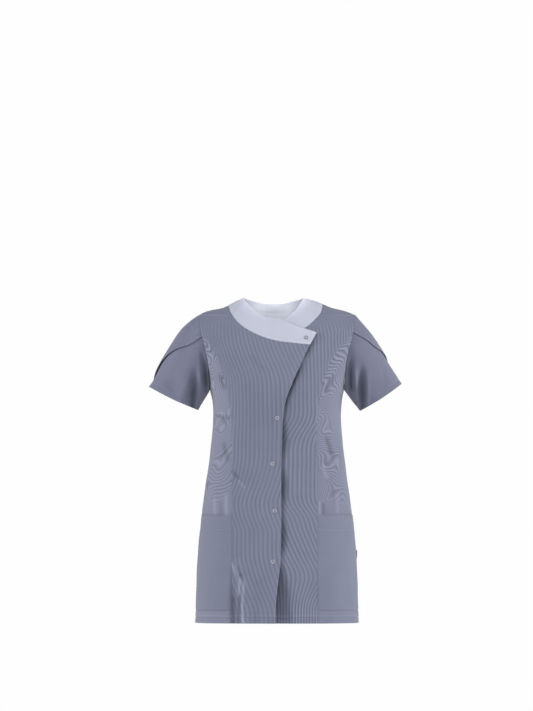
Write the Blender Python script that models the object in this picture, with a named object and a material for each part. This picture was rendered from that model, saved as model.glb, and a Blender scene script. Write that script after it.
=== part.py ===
"""A short-sleeved work tunic with a crossover front, filled out as if worn.

Metres, +Z up, the front faces -Y, and the wearer's left is +X. The origin lies between the shoulders,
where the wearer holds the tunic up. The body is one smooth form, given by a function of the place.
Each panel is a grid of points on that form between its own seams, and each grid becomes a thin wall.
"""

import math

import bpy
import numpy as np

# Driving sizes
HEM_Z = -0.8207
UNDERARM_Z = -0.2176
TIP_Z = -0.0235
CLOTH = 0.0015
COLLAR_CLOTH = 0.0020
COLLAR_CROWN = 0.0016
POCKET_CLOTH = 0.0012
SEAM_GAP = 0.0003
ARMHOLE_GAP = 0.00045
LAYER_GAP = 0.0004
OVERLAP_WIDTH = 0.042
OVERLAP_LIFT = 0.0025
OVERLAP_SETTLES = (0.050, 0.084)
EDGE_BENDS_OVER = 0.045
POCKET_TOP_Z = -0.542
POCKET_BOTTOM_Z = -0.787
POCKET_MOUTH = 0.0022
POCKET_INSET = 0.0012
SNAP_RADIUS = 0.0052
SNAP_BAND = 0.0023
SNAP_HEIGHT = 0.0013
SNAP_BEDDING = 0.0002
ROUNDNESS = 2.4

# The body's level sections: half the width, and how far front and back stand from the side seams
SECTIONS = np.array(
    [
        (HEM_Z, 0.2105, 0.141, 0.147),
        (-0.700, 0.2080, 0.139, 0.146),
        (-0.600, 0.2010, 0.134, 0.143),
        (-0.500, 0.1900, 0.127, 0.134),
        (-0.420, 0.1790, 0.121, 0.124),
        (-0.350, 0.1700, 0.120, 0.118),
        (-0.300, 0.1656, 0.125, 0.117),
        (-0.267, 0.1652, 0.131, 0.1185),
        (-0.240, 0.1682, 0.1355, 0.1205),
        (UNDERARM_Z, 0.1735, 0.138, 0.123),
        (-0.150, 0.1815, 0.129, 0.126),
        (-0.090, 0.1930, 0.109, 0.118),
        (-0.040, 0.2010, 0.095, 0.106),
        (0.000, 0.2030, 0.085, 0.097),
        (0.050, 0.2030, 0.075, 0.086),
    ],
    dtype=[("z", float), ("half_width", float), ("front", float), ("back", float)],
)

# The shoulder line: how high it runs at each distance from the middle
SHOULDER_LINE = np.array(
    [(0.0, 0.046), (0.06, 0.030), (0.10, 0.0145), (0.117, 0.0060), (0.141, -0.0045), (0.165, -0.0100)]
    + [(0.185, -0.0155), (0.203, TIP_Z), (0.230, -0.040)],
    dtype=[("x", float), ("z", float)],
)

# The armhole seen from the front, and its depth to each side of the shoulder line
ARMHOLE = np.array(
    [(UNDERARM_Z, 0.1735), (-0.180, 0.1765), (-0.133, 0.1830), (-0.100, 0.1895)]
    + [(-0.057, 0.1995), (TIP_Z, 0.2030)],
    dtype=[("z", float), ("x", float)],
)
ARMHOLE_FRONT = 0.056
ARMHOLE_BACK = 0.050
PRINCESS_ANGLE = 60
ARMHOLE_STEP = 15

# The princess seams, from the hem up to the armhole
PRINCESS = np.array(
    [
        (HEM_Z, 0.1167, 0.1040),
        (-0.450, 0.1170, 0.1030),
        (-0.360, 0.1167, 0.1010),
        (-0.288, 0.1195, 0.1030),
        (-0.231, 0.1270, 0.1090),
        (-0.171, 0.1425, 0.1280),
        (-0.114, 0.1640, 0.1590),
        (-0.0721, 0.1962, 0.1962),
    ],
    dtype=[("z", float), ("right", float), ("left", float)],
)

# The overlap's free edge, and how far it stands off the underlap between the snaps
FREE_EDGE = np.array(
    [
        (HEM_Z, -0.0052, 0.0095),
        (-0.762, -0.0026, 0.0070),
        (-0.705, 0.0036, 0.0030),
        (-0.661, 0.0086, 0.0005),
        (-0.595, 0.0102, 0.0022),
        (-0.530, 0.0104, 0.0005),
        (-0.470, 0.0104, 0.0026),
        (-0.408, 0.0106, 0.0005),
        (-0.347, 0.0127, 0.0024),
        (-0.2826, 0.0156, 0.0006),
        (-0.2386, 0.0233, 0.0022),
        (-0.2048, 0.0363, 0.0030),
        (-0.153, 0.0596, 0.0026),
        (-0.1009, 0.0843, 0.0010),
        (-0.0682, 0.1010, 0.0008),
    ],
    dtype=[("z", float), ("x", float), ("stand_off", float)],
)

# The collar's sections, from the tab round the neck to the end under the tab: the seam on the body and
# the free edge. Between the two shoulder sections the seam lies on the back.
COLLAR = np.array(
    [
        ("tab", 0.0843, -0.1009, 0.1019, -0.0872, -0.0682),
        ("tab", 0.0627, -0.0988, 0.0780, -0.0905, -0.0605),
        ("front", 0.0412, -0.0962, 0.0540, -0.0905, -0.0525),
        ("front", 0.0197, -0.0928, 0.0300, -0.0865, -0.0425),
        ("front", -0.0018, -0.0887, 0.0080, -0.0800, -0.0340),
        ("front", -0.0233, -0.0832, -0.0150, -0.0735, -0.0318),
        ("front", -0.0446, -0.0757, -0.0386, -0.0665, -0.0255),
        ("front", -0.0661, -0.0661, -0.0575, -0.0560, -0.0120),
        ("front", -0.0876, -0.0532, -0.0719, -0.0440, 0.0021),
        ("front", -0.1060, -0.0365, -0.0815, -0.0300, 0.0135),
        ("front", -0.1200, -0.0150, -0.0862, -0.0130, 0.0203),
        ("shoulder", -0.1250, 0.0028, -0.0850, 0.0050, 0.0226),
        ("back", -0.1120, -0.0120, -0.0790, 0.0290, 0.0188),
        ("back", -0.0850, -0.0255, -0.0620, 0.0470, 0.0130),
        ("back", -0.0480, -0.0350, -0.0370, 0.0575, 0.0080),
        ("back", -0.0050, -0.0385, -0.0092, 0.0605, 0.0070),
        ("back", 0.0380, -0.0350, 0.0190, 0.0575, 0.0080),
        ("back", 0.0750, -0.0255, 0.0440, 0.0470, 0.0130),
        ("back", 0.1030, -0.0120, 0.0620, 0.0290, 0.0188),
        ("shoulder", 0.1170, 0.0060, 0.0680, 0.0050, 0.0226),
        ("front", 0.1135, -0.0150, 0.0650, -0.0130, 0.0160),
        ("front", 0.1010, -0.0310, 0.0575, -0.0310, 0.0020),
        ("front", 0.0840, -0.0475, 0.0460, -0.0460, -0.0130),
        ("front", 0.0640, -0.0605, 0.0300, -0.0590, -0.0270),
        ("end", 0.0420, -0.0705, 0.0100, -0.0670, -0.0400),
    ],
    dtype=[("part", "U8"), ("seam_x", float), ("seam_z", float)]
    + [("edge_x", float), ("edge_y", float), ("edge_z", float)],
)
NECK_RIGHT, NECK_LEFT = np.flatnonzero(COLLAR["part"] == "shoulder").tolist()

# The largest folds of the body: from one place to another as seen from the front or the back, the
# fold's half width, and its height, which is below zero for a trough
FOLDS = np.array(
    [
        ("front", -0.112, -0.655, -0.092, -0.700, 0.013, 0.0045),
        ("front", -0.092, -0.700, -0.084, -0.830, 0.013, 0.0065),
        ("front", -0.109, -0.700, -0.105, -0.830, 0.012, -0.0055),
        ("front", -0.060, -0.700, -0.050, -0.830, 0.016, -0.0040),
        ("front", -0.150, -0.285, -0.118, -0.320, 0.014, -0.0030),
        ("front", -0.115, -0.430, -0.080, -0.470, 0.015, -0.0028),
        ("front", 0.128, -0.420, 0.140, -0.520, 0.018, -0.0030),
        ("front", 0.103, -0.250, 0.101, -0.345, 0.010, 0.0020),
        ("front", 0.060, -0.640, 0.055, -0.830, 0.022, 0.0040),
        ("front", 0.135, -0.660, 0.150, -0.830, 0.026, 0.0045),
        ("front", -0.155, -0.640, -0.168, -0.830, 0.026, 0.0040),
        ("back", -0.110, -0.560, -0.128, -0.840, 0.026, 0.0065),
        ("back", -0.055, -0.600, -0.060, -0.840, 0.022, -0.0055),
        ("back", 0.012, -0.540, 0.004, -0.840, 0.026, 0.0060),
        ("back", 0.072, -0.610, 0.070, -0.840, 0.022, -0.0060),
        ("back", 0.128, -0.570, 0.140, -0.840, 0.026, 0.0060),
        ("back", -0.110, -0.345, 0.010, -0.372, 0.016, -0.0032),
        ("back", 0.120, -0.390, 0.000, -0.408, 0.015, -0.0034),
        ("back", -0.150, -0.215, -0.120, -0.330, 0.018, -0.0035),
        ("back", 0.150, -0.215, 0.125, -0.320, 0.018, -0.0035),
    ],
    dtype=[("face", "U8"), ("x_0", float), ("z_0", float), ("x_1", float), ("z_1", float)]
    + [("half_width", float), ("height", float)],
)

# The sleeves: hem corners seen from the front, and the upper petal's free edge round the arm in degrees
# from the top, at equal steps from the armhole to the hem
SLEEVES = {
    "right": {"side": -1, "outer": (0.3322, -0.2085), "inner": (0.2046, -0.2695), "cap": 0.098},
    "left": {"side": 1, "outer": (0.3232, -0.2012), "inner": (0.2152, -0.2718), "cap": 0.034},
}
SLEEVE_FULLNESS = 0.009
SLEEVE_HEM_DIP = 0.003
PETAL_EDGES = np.array(
    [(0.0, 65, 57, -45), (0.25, 57, 43, -50), (0.5, 32, 26, -54), (0.75, 4, -12, -58), (1.0, -38, -40, -64)],
    dtype=[("along", float), ("right", float), ("left", float), ("hidden", float)],
)
PETAL_STAND_OFF = np.array(
    [(0.0, 0.0005, 0.0005), (0.3, 0.0020, 0.0018), (0.6, 0.0050, 0.0030), (0.8, 0.0070, 0.0022)]
    + [(1.0, 0.0035, 0.0012)],
    dtype=[("along", float), ("right", float), ("left", float)],
)
SLEEVE_HALF_DEPTH = 0.052
SLEEVE_FOLDS = np.array(
    [
        ("right", 84, 0.05, 152, 0.10, 0.009, -0.0060),
        ("right", 78, 0.08, 140, 0.60, 0.008, 0.0040),
        ("right", 92, 0.32, 154, 1.05, 0.012, -0.0070),
        ("right", -120, 0.05, -150, 1.05, 0.018, -0.0055),
        ("right", -80, 0.30, -100, 1.05, 0.020, 0.0030),
        ("left", 96, 0.05, 146, 0.48, 0.009, -0.0060),
        ("left", 79, 0.10, 142, 0.55, 0.008, 0.0040),
        ("left", 80, 0.28, 150, 1.05, 0.012, -0.0070),
        ("left", 62, 0.30, 124, 1.05, 0.010, 0.0030),
        ("left", -118, 0.05, -146, 1.05, 0.018, -0.0055),
        ("left", -80, 0.30, -96, 1.05, 0.020, 0.0030),
    ],
    dtype=[("side", "U8"), ("angle_0", float), ("along_0", float), ("angle_1", float), ("along_1", float)]
    + [("half_width", float), ("height", float)],
)
SNAP_TURNS = 18
DEGREE_ROUND = 0.0012
LENGTH_ALONG = 0.13
SIDE_CLEAR = 0.03
AXIS_DROP = 0.03
HALVINGS = 40
ARC_POINTS = 60
BACKWARDS = 1e-7
SMALL_STEP = 2e-4
MOST_SHARE = 0.9

COLLAR_SNAP = {"section": 0.75, "across": 0.44}
SNAPS = {
    "snap_1": (0.0005, -0.2896),
    "snap_2": (-0.0117, -0.4084),
    "snap_3": (-0.0057, -0.5300),
    "snap_4": (-0.0104, -0.6612),
}
TAB_Z = (-0.654, -0.633)
TAB_REACH = 0.0055
TAB_CLOTH = 0.0010

# Levels of the rows that every body panel shares, below the armhole
ROW_LEVELS = [HEM_Z, -0.805, POCKET_BOTTOM_Z, -0.750, -0.710, -0.670, -0.630, -0.590, POCKET_TOP_Z, -0.500]
ROW_LEVELS += [-0.462, -0.425, -0.388, -0.352]
ROWS_TO_ARMHOLE = 7
FRONT_STEPS = 2
BACK_STEPS = 3
PETAL_STEP = 9
PETAL_ROWS = 11
PETAL_GAP = 0.0010
PETAL_RISES = (-110, -70)
PETAL_PRESSED_UNTIL = 0.3
PETAL_FREED_OVER = 20
PETAL_FLARES_OVER = 50
RIM_TURNS_UNTIL = 0.15
SHOULDER_ROWS = 4

MATERIALS = {
    "stripe_cloth": ((0.205, 0.218, 0.290), 0.86, 0.0),
    "plain_cloth": ((0.225, 0.240, 0.310), 0.86, 0.0),
    "collar_cloth": ((0.590, 0.600, 0.680), 0.84, 0.0),
    "snap_metal": ((0.560, 0.570, 0.600), 0.30, 1.0),
    "tab_cloth": ((0.050, 0.055, 0.085), 0.80, 0.0),
}


def through(keys, values, at):
    """The smooth curve through a short table, read at any places."""
    keys, values, at = np.asarray(keys), np.asarray(values), np.asarray(at, float)
    slopes = np.gradient(values, keys)
    at = np.clip(at, keys[0], keys[-1])
    low = np.clip(np.searchsorted(keys, at, side="right") - 1, 0, len(keys) - 2)
    step = keys[low + 1] - keys[low]
    t = (at - keys[low]) / step
    start = (1 + 2 * t) * (1 - t) ** 2 * values[low] + t * (1 - t) ** 2 * step * slopes[low]
    end = t * t * (3 - 2 * t) * values[low + 1] + t * t * (t - 1) * step * slopes[low + 1]
    return start + end


def unit(vectors):
    return vectors / np.linalg.norm(vectors, axis=-1, keepdims=True)


def ease(at, low, high):
    """0 up to low, 1 from high on, and smooth between them."""
    t = np.clip((at - low) / (high - low), 0, 1)
    return t * t * (3 - 2 * t)


def shoulder_z(x):
    return through(SHOULDER_LINE["x"], SHOULDER_LINE["z"], np.abs(x))


def armhole_x(z):
    return through(ARMHOLE["z"], ARMHOLE["x"], z)


def armhole_depth(z, front):
    """How far the armhole's edge lies from the shoulder line at a height: an oval."""
    middle, half = (TIP_Z + UNDERARM_Z) / 2, (TIP_Z - UNDERARM_Z) / 2
    oval = np.clip(1 - ((z - middle) / half) ** 2, 0, 1) ** (1 / ROUNDNESS)
    return np.where(front, ARMHOLE_FRONT, ARMHOLE_BACK) * oval


def rise(x, z):
    """0 at the underarm and 1 on the shoulder line."""
    return np.clip((z - UNDERARM_Z) / (shoulder_z(x) - UNDERARM_Z), 0, None)


def depth(z, front):
    return np.where(
        front,
        through(SECTIONS["z"], SECTIONS["front"], z),
        through(SECTIONS["z"], SECTIONS["back"], z),
    )


def half_width(z, front):
    """The form's half width. Above the underarm it passes through the armhole's edge."""
    edge = armhole_x(z)
    open_top = np.clip(1 - rise(edge, z) ** ROUNDNESS, 1e-6, 1)
    share = np.clip((armhole_depth(z, front) / depth(z, front)) ** ROUNDNESS / open_top, 0, MOST_SHARE)
    above = edge / (1 - share) ** (1 / ROUNDNESS)
    return np.where(z > UNDERARM_Z, above, through(SECTIONS["z"], SECTIONS["half_width"], z))


def room(x, z, front):
    """What the section leaves for the depth: 1 in the middle, 0 at the sides and on the shoulder line."""
    side = 1 - (np.abs(x) / half_width(z, front)) ** ROUNDNESS
    top = 1 - rise(x, z) ** ROUNDNESS
    return np.where((side > 0) & (top > 0), side * top, np.minimum(side, top))


def outside(p):
    """Above 0 outside the body's form, and 0 on it."""
    front = p[..., 1] < 0
    share = (np.abs(p[..., 1]) / depth(p[..., 2], front)) ** ROUNDNESS
    return share - room(p[..., 0], p[..., 2], front)


def on_body(x, z, front):
    """The point of the body's form at a place seen from the front or the back."""
    x, z = np.broadcast_arrays(np.asarray(x, float), np.asarray(z, float))
    y = depth(z, front) * np.clip(room(x, z, front), 0, None) ** (1 / ROUNDNESS)
    return np.stack([x, -y if front else y, z], -1)


def body_normal(p):
    """The form's outward direction, from how fast it is left along each axis."""
    slopes = [outside(p + SMALL_STEP * axis) - outside(p - SMALL_STEP * axis) for axis in np.eye(3)]
    return unit(np.stack(slopes, -1))


def seat(p):
    """Moves points out from the body's axis onto its form."""
    centre = np.zeros_like(p)
    centre[..., 2] = np.minimum(p[..., 2], UNDERARM_Z - AXIS_DROP)
    low, high = np.full(p.shape[:-1], 0.3), np.full(p.shape[:-1], 2.5)
    for _ in range(HALVINGS):
        middle = (low + high) / 2
        inside = outside(centre + middle[..., None] * (p - centre)) < 0
        low, high = np.where(inside, middle, low), np.where(inside, high, middle)
    return centre + low[..., None] * (p - centre)


def crease(place, start, end, half_width, runs_out):
    """1 along a soft fold from start to end, and 0 away from it. One that runs out keeps its height there."""
    run = end - start
    t = np.clip(((place - start) @ run) / (run @ run), 0, 1)
    away = np.linalg.norm(place - start - t[..., None] * run, axis=-1) / half_width
    return np.exp(-(away**2)) * ease(t, 0, 0.35) * (1 if runs_out else 1 - ease(t, 0.65, 1))


def fold_height(p):
    """How far the folds stand out of the form at each point."""
    height = np.zeros(p.shape[:-1])
    for row in FOLDS:
        start, end = np.array([row["x_0"], row["z_0"]]), np.array([row["x_1"], row["z_1"]])
        shape = crease(p[..., [0, 2]], start, end, row["half_width"], row["z_1"] < HEM_Z)
        facing = p[..., 1] < 0 if row["face"] == "front" else p[..., 1] > 0
        height += row["height"] * shape * facing * ease(np.abs(p[..., 1]), 0.0, SIDE_CLEAR)
    return height


def free_edge_x(z):
    return through(FREE_EDGE["z"], FREE_EDGE["x"], z)


def overlap_lift(p):
    """How far the overlap lies out from the form: a cloth's thickness over the underlap, its edge more."""
    behind = free_edge_x(p[..., 2]) - p[..., 0]
    stand_off = through(FREE_EDGE["z"], FREE_EDGE["stand_off"], p[..., 2])
    over_underlap = 1 - ease(behind, *OVERLAP_SETTLES)
    return OVERLAP_LIFT * over_underlap + stand_off * (1 - ease(behind, 0.0, EDGE_BENDS_OVER))


def spread(points, count):
    """A line of points walked again in equal steps."""
    far = np.concatenate([[0], np.cumsum(np.linalg.norm(np.diff(points, axis=0), axis=1))])
    at = np.linspace(0, far[-1], count)
    return np.stack([np.interp(at, far, points[:, k]) for k in range(3)], -1)


def patch(bottom, top, left, right):
    """A grid of points between four border lines. Rows run from left to right, and climb from the bottom."""
    rows, columns = len(left), len(bottom)
    u = np.linspace(0, 1, columns)[None, :, None]
    v = np.linspace(0, 1, rows)[:, None, None]
    across = (1 - u) * left[:, None] + u * right[:, None]
    up = (1 - v) * bottom[None] + v * top[None]
    corners = (1 - v) * ((1 - u) * bottom[0] + u * bottom[-1]) + v * ((1 - u) * top[0] + u * top[-1])
    return across + up - corners


def even_rows(grid, first):
    """Spaces the rows from the first on equally in the middle of a grid. Its side borders stay."""
    grid = grid.copy()
    rows, columns = grid[first:].shape[:2]
    for c in range(1, columns - 1):
        share = 1 - (2 * c / (columns - 1) - 1) ** 4
        grid[first:, c] += share * (spread(grid[first:, c], rows) - grid[first:, c])
    return grid


def inset(grid, borders, gap=SEAM_GAP / 2):
    """Draws the named borders of a grid back from their seams by half a gap, square to each seam."""
    grid = grid.copy()
    for name in borders:
        edge, inner = {
            "left": (np.s_[:, 0], np.s_[:, 1]),
            "right": (np.s_[:, -1], np.s_[:, -2]),
            "bottom": (np.s_[0], np.s_[1]),
            "top": (np.s_[-1], np.s_[-2]),
        }[name]
        seam = unit(np.gradient(grid[edge], axis=0))
        into = grid[inner] - grid[edge]
        into -= (into * seam).sum(-1, keepdims=True) * seam
        grid[edge] += gap * unit(into)
    return grid


def wall(name, outer, inner, material):
    """One closed solid between an outer and an inner grid of points."""
    rows, columns = outer.shape[:2]
    points = np.concatenate([outer.reshape(-1, 3), inner.reshape(-1, 3)])
    outer_at = np.arange(rows * columns).reshape(rows, columns)
    inner_at = outer_at + rows * columns
    faces = []
    for r in range(rows - 1):
        for c in range(columns - 1):
            faces.append((outer_at[r, c], outer_at[r, c + 1], outer_at[r + 1, c + 1], outer_at[r + 1, c]))
            faces.append((inner_at[r, c], inner_at[r + 1, c], inner_at[r + 1, c + 1], inner_at[r, c + 1]))
    rim = [(0, c) for c in range(columns)] + [(r, columns - 1) for r in range(1, rows)]
    rim += [(rows - 1, c) for c in range(columns - 2, -1, -1)] + [(r, 0) for r in range(rows - 2, 0, -1)]
    for here, there in zip(rim, rim[1:] + rim[:1]):
        faces.append((outer_at[here], inner_at[here], inner_at[there], outer_at[there]))
    return solid(name, points, faces, material)


def solid(name, points, faces, material):
    """A named object from points and faces, turned to face out."""
    points = np.asarray(points, float)
    faces = [tuple(int(k) for k in face) for face in faces]
    triples = np.array([(f[0], f[k], f[k + 1]) for f in faces for k in range(1, len(f) - 1)])
    if np.linalg.det(points[triples] - points.mean(0)).sum() < 0:
        faces = [face[::-1] for face in faces]
    mesh = bpy.data.meshes.new(name)
    mesh.from_pydata(points.tolist(), [], faces)
    mesh.validate()
    mesh.shade_smooth()
    mesh.set_sharp_from_angle(angle=math.radians(40))
    mesh.materials.append(material)
    made = bpy.data.objects.new(name, mesh)
    bpy.context.scene.collection.objects.link(made)
    return made


def cloth_surface(grid, lift=0.0):
    """A panel's outside: the grid on the body's form, with its folds, lifted. Also its outward directions."""
    normal = body_normal(grid)
    return grid + normal * (fold_height(grid) + lift)[..., None], normal


def cloth_wall(name, surface, material):
    """A panel's wall, made thick inwards from its outside."""
    outer, normal = surface
    return wall(name, outer, outer - normal * CLOTH, material)


def armhole_line(side, angles):
    """Points on the armhole's edge at angles in degrees from the shoulder, above 0 on the front."""
    angles = np.asarray(angles, float)
    z = (TIP_Z + UNDERARM_Z) / 2 + (TIP_Z - UNDERARM_Z) / 2 * np.cos(np.radians(angles))
    deep = armhole_depth(z, angles > 0)
    return np.stack([side * armhole_x(z), np.where(angles > 0, -deep, deep), z], -1)


def shoulder_seam(side, neck_x):
    """Points from the shoulder's tip to the neck."""
    x = np.linspace(armhole_x(TIP_Z), abs(neck_x), SHOULDER_ROWS + 1)
    return np.stack([side * x, np.zeros_like(x), shoulder_z(x)], -1)


def levels_up_to(top):
    """The shared row levels, then equal steps to the top."""
    return np.concatenate([ROW_LEVELS[:-1], np.linspace(ROW_LEVELS[-1], top, ROWS_TO_ARMHOLE + 1)])


def princess_seam(side):
    z = levels_up_to(PRINCESS["z"][-1])
    x = through(PRINCESS["z"], PRINCESS["left" if side > 0 else "right"], z)
    line = on_body(side * x, z, True)
    line[-1] = armhole_line(side, [PRINCESS_ANGLE])[0]
    return line


def side_seam(side):
    z = levels_up_to(UNDERARM_Z)
    return np.stack([side * half_width(z, True), np.zeros_like(z), z], -1)


def level_arc(x_0, x_1, z, count, front):
    """Points along a level section between two places, in equal steps."""
    share = np.linspace(0, 1, ARC_POINTS)
    width = float(half_width(np.array(z), front))
    turn = np.arcsin(np.clip(np.array([x_0, x_1]) / width, -1, 1))
    x = width * np.sin(turn[0] + share * (turn[1] - turn[0]))
    return spread(on_body(x, np.full_like(x, z), front), count)


def neck_places():
    """Places along the collar, counted in its sections, where it and the body have a point."""
    stops = [(0, NECK_RIGHT, FRONT_STEPS), (NECK_RIGHT, NECK_LEFT, BACK_STEPS)]
    stops += [(NECK_LEFT, len(COLLAR) - 1, FRONT_STEPS)]
    runs = [np.linspace(low, high, steps * (high - low) + 1)[:-1] for low, high, steps in stops]
    return np.concatenate([*runs, [len(COLLAR) - 1]])


def neck_seam(at):
    """Points on the body along the collar's seam."""
    sections = np.arange(len(COLLAR))
    x = through(sections, COLLAR["seam_x"], at)
    z = np.minimum(through(sections, COLLAR["seam_z"], at), shoulder_z(x))
    on_back = (at > NECK_RIGHT) & (at < NECK_LEFT)
    return np.where(on_back[:, None], on_body(x, z, False), on_body(x, z, True))


def up_the_side(side, neck_x):
    """The outer border of a centre front: princess seam, armhole and shoulder seam."""
    armhole = armhole_line(side, np.arange(PRINCESS_ANGLE - ARMHOLE_STEP, -1, -ARMHOLE_STEP))
    return np.concatenate([princess_seam(side), armhole, shoulder_seam(side, neck_x)[1:]])


def down_the_edge(outer, behind, top):
    """The front edge of a centre front, so far behind the free edge, with the rows of its outer border."""
    shared = len(ROW_LEVELS)
    above = np.linspace(outer[shared - 1, 2], top[2], len(outer) - shared + 1)[1:]
    z = np.concatenate([outer[:shared, 2], above])
    line = on_body(free_edge_x(z) - behind, z, True)
    line[-1] = top
    return line


def centre_front(side):
    """The grid of a centre front, from the princess seam to its front edge."""
    at = neck_places()
    if side < 0:
        neck = neck_seam(at[at <= NECK_RIGHT][::-1])
        behind = 0
    else:
        neck = neck_seam(at[at >= NECK_LEFT])
        behind = OVERLAP_WIDTH
    outer = up_the_side(side, neck[0, 0])
    outer[-1] = neck[0]
    inner = down_the_edge(outer, behind, neck[-1])
    hem = level_arc(outer[0, 0], inner[0, 0], HEM_Z, len(neck), True)
    grid = seat(patch(hem, neck, outer, inner))
    return inset(grid, ["left", "top"])


def side_front(side):
    """The grid of a side panel, from the side seam to the princess seam."""
    armhole = armhole_line(side, np.arange(180, PRINCESS_ANGLE - 1, -ARMHOLE_STEP))
    outer, inner = side_seam(side), princess_seam(side)
    hem = level_arc(outer[0, 0], inner[0, 0], HEM_Z, len(armhole), True)
    grid = seat(patch(hem, armhole, outer, inner))
    return inset(grid, ["left", "right", "top"])


def back_grid():
    """The grid of the back, from its right side to its left."""
    borders = []
    for side, neck_at in ((-1, NECK_RIGHT), (1, NECK_LEFT)):
        armhole = armhole_line(side, np.arange(-180 + ARMHOLE_STEP, 1, ARMHOLE_STEP))
        seam = shoulder_seam(side, COLLAR["seam_x"][neck_at])
        borders.append(np.concatenate([side_seam(side), armhole, seam[1:]]))
    at = neck_places()
    neck = neck_seam(at[(at >= NECK_RIGHT) & (at <= NECK_LEFT)])
    hem = level_arc(borders[0][0, 0], borders[1][0, 0], HEM_Z, len(neck), False)
    for border in borders:
        border[:, 1] += BACKWARDS
    neck[0], neck[-1] = borders[0][-1], borders[1][-1]
    grid = even_rows(seat(patch(hem, neck, borders[0], borders[1])), len(ROW_LEVELS) - 1)
    return inset(seat(grid), ["left", "right", "top"])


def sleeve_point(name, angle, along):
    """A point of a sleeve's form: degrees round the arm from the top, and 0 at the armhole, 1 at the hem."""
    sleeve = SLEEVES[name]
    side = sleeve["side"]
    angle, along = np.broadcast_arrays(np.asarray(angle, float), np.asarray(along, float))
    cos, sin = np.cos(np.radians(angle))[..., None], np.sin(np.radians(angle))[..., None]
    t = along[..., None]
    top = np.array([side * sleeve["outer"][0], 0, sleeve["outer"][1]])
    under = np.array([side * sleeve["inner"][0], 0, sleeve["inner"][1]])
    deep = np.array([0, -SLEEVE_HALF_DEPTH, 0])
    start = armhole_line(side, (angle + 180) % 360 - 180)
    end = (top + under) / 2 + (top - under) / 2 * cos + deep * sin
    down_the_arm = unit(top - armhole_line(side, [0.0])[0])
    off_the_cap = np.array([-side * down_the_arm[2], 0, side * down_the_arm[0]])
    end = end + down_the_arm * SLEEVE_HEM_DIP * sin**2
    cap = sleeve["cap"] * t * (1 - t) ** 2 * ((1 + cos) / 2) ** 2
    full = SLEEVE_FULLNESS * 4 * t * (1 - t) * unit(deep) * sin
    return (1 - t) * start + t * end + cap * off_the_cap + full


def sleeve_normal(name, angle, along):
    """The outward direction of a sleeve's form."""
    round_arm = sleeve_point(name, angle + 0.5, along) - sleeve_point(name, angle - 0.5, along)
    along_arm = sleeve_point(name, angle, along + 0.01) - sleeve_point(name, angle, along - 0.01)
    return unit(np.cross(round_arm, along_arm)) * SLEEVES[name]["side"]


def sleeve_fold_height(name, angle, along):
    """How far a sleeve's folds stand out of its form, measured in the sleeve's own metres round and along."""
    scale = np.array([DEGREE_ROUND, LENGTH_ALONG])
    place = np.stack(np.broadcast_arrays(angle, along), -1) * scale
    height = np.zeros(place.shape[:-1])
    for row in SLEEVE_FOLDS[SLEEVE_FOLDS["side"] == name]:
        start = np.array([row["angle_0"], row["along_0"]]) * scale
        end = np.array([row["angle_1"], row["along_1"]]) * scale
        height += row["height"] * crease(place, start, end, row["half_width"], row["along_1"] > 1)
    return height


def petal(name, over):
    """A sleeve petal's grid as angles and places along the arm, and its lift off the sleeve's form.

    In the armhole's seam the upper petal lies on the form and the lower one is pressed in under it.
    """
    along = np.linspace(0, 1, PETAL_ROWS)[:, None]
    pressed = CLOTH + PETAL_GAP
    sink = pressed * (1 - ease(along, 0.0, PETAL_PRESSED_UNTIL))
    edge = through(PETAL_EDGES["along"], PETAL_EDGES[name if over else "hidden"], along)
    start = -180 if over else 180
    columns = int(abs(edge[0, 0] - start) / PETAL_STEP) + 1
    angle = start + np.linspace(0, 1, columns)[None] * (edge - start)
    if over:
        stand = through(PETAL_STAND_OFF["along"], PETAL_STAND_OFF[name], along)
        flare = 1 - ease(edge - angle, 0, PETAL_FLARES_OVER)
        lift = (pressed - sink) * ease(angle, *PETAL_RISES) + stand * flare
    else:
        covered = 1 - ease(angle, PRINCESS_ANGLE, PRINCESS_ANGLE + PETAL_FREED_OVER)
        lift = -sink * ease(angle, *PETAL_RISES) * covered
    return angle, along, lift


def sleeve_wall(name, over, material):
    """A sleeve petal's wall. At the armhole it is made thick in the same direction as the body beside it."""
    angle, along, lift = petal(name, over)
    angle, along = np.broadcast_arrays(angle, along)
    seam = armhole_line(SLEEVES[name]["side"], (angle + 180) % 360 - 180)
    normal = sleeve_normal(name, angle, along)
    share = ((1 + np.cos(np.radians(angle))) / 2) ** 2 * (1 - ease(along, 0, RIM_TURNS_UNTIL))
    out_of_cloth = unit(normal + (body_normal(seam) - normal) * share[..., None])
    outer = sleeve_point(name, angle, along) + normal * sleeve_fold_height(name, angle, along)[..., None]
    outer += out_of_cloth * lift[..., None]
    inner = outer - out_of_cloth * CLOTH
    gap = ARMHOLE_GAP if over else ARMHOLE_GAP + SEAM_GAP
    outer, inner = (inset(inset(points, ["left"]), ["bottom"], gap) for points in (outer, inner))
    return wall(f"sleeve_{'over' if over else 'under'}_{name}", outer, inner, material)


def collar_grid(at, share):
    """The collar's outer points and their outward directions: sections along it, and the share across it."""
    sections = np.arange(len(COLLAR))
    seam = neck_seam(at)
    lifted = seam + body_normal(seam) * overlap_lift(seam)[:, None]
    seam = np.where((at < NECK_RIGHT / 2)[:, None], lifted, seam)
    edge = np.stack([through(sections, COLLAR[k], at) for k in ("edge_x", "edge_y", "edge_z")], -1)
    share = np.asarray(share)[:, None, None]
    grid = (1 - share) * seam + share * edge
    normal = unit(np.cross(np.gradient(grid, axis=0), np.gradient(grid, axis=1)))
    normal *= np.sign((normal * (grid - grid.mean((0, 1)))).sum(-1).mean())
    return grid + normal * (COLLAR_CROWN * np.sin(np.pi * share)), normal


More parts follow.
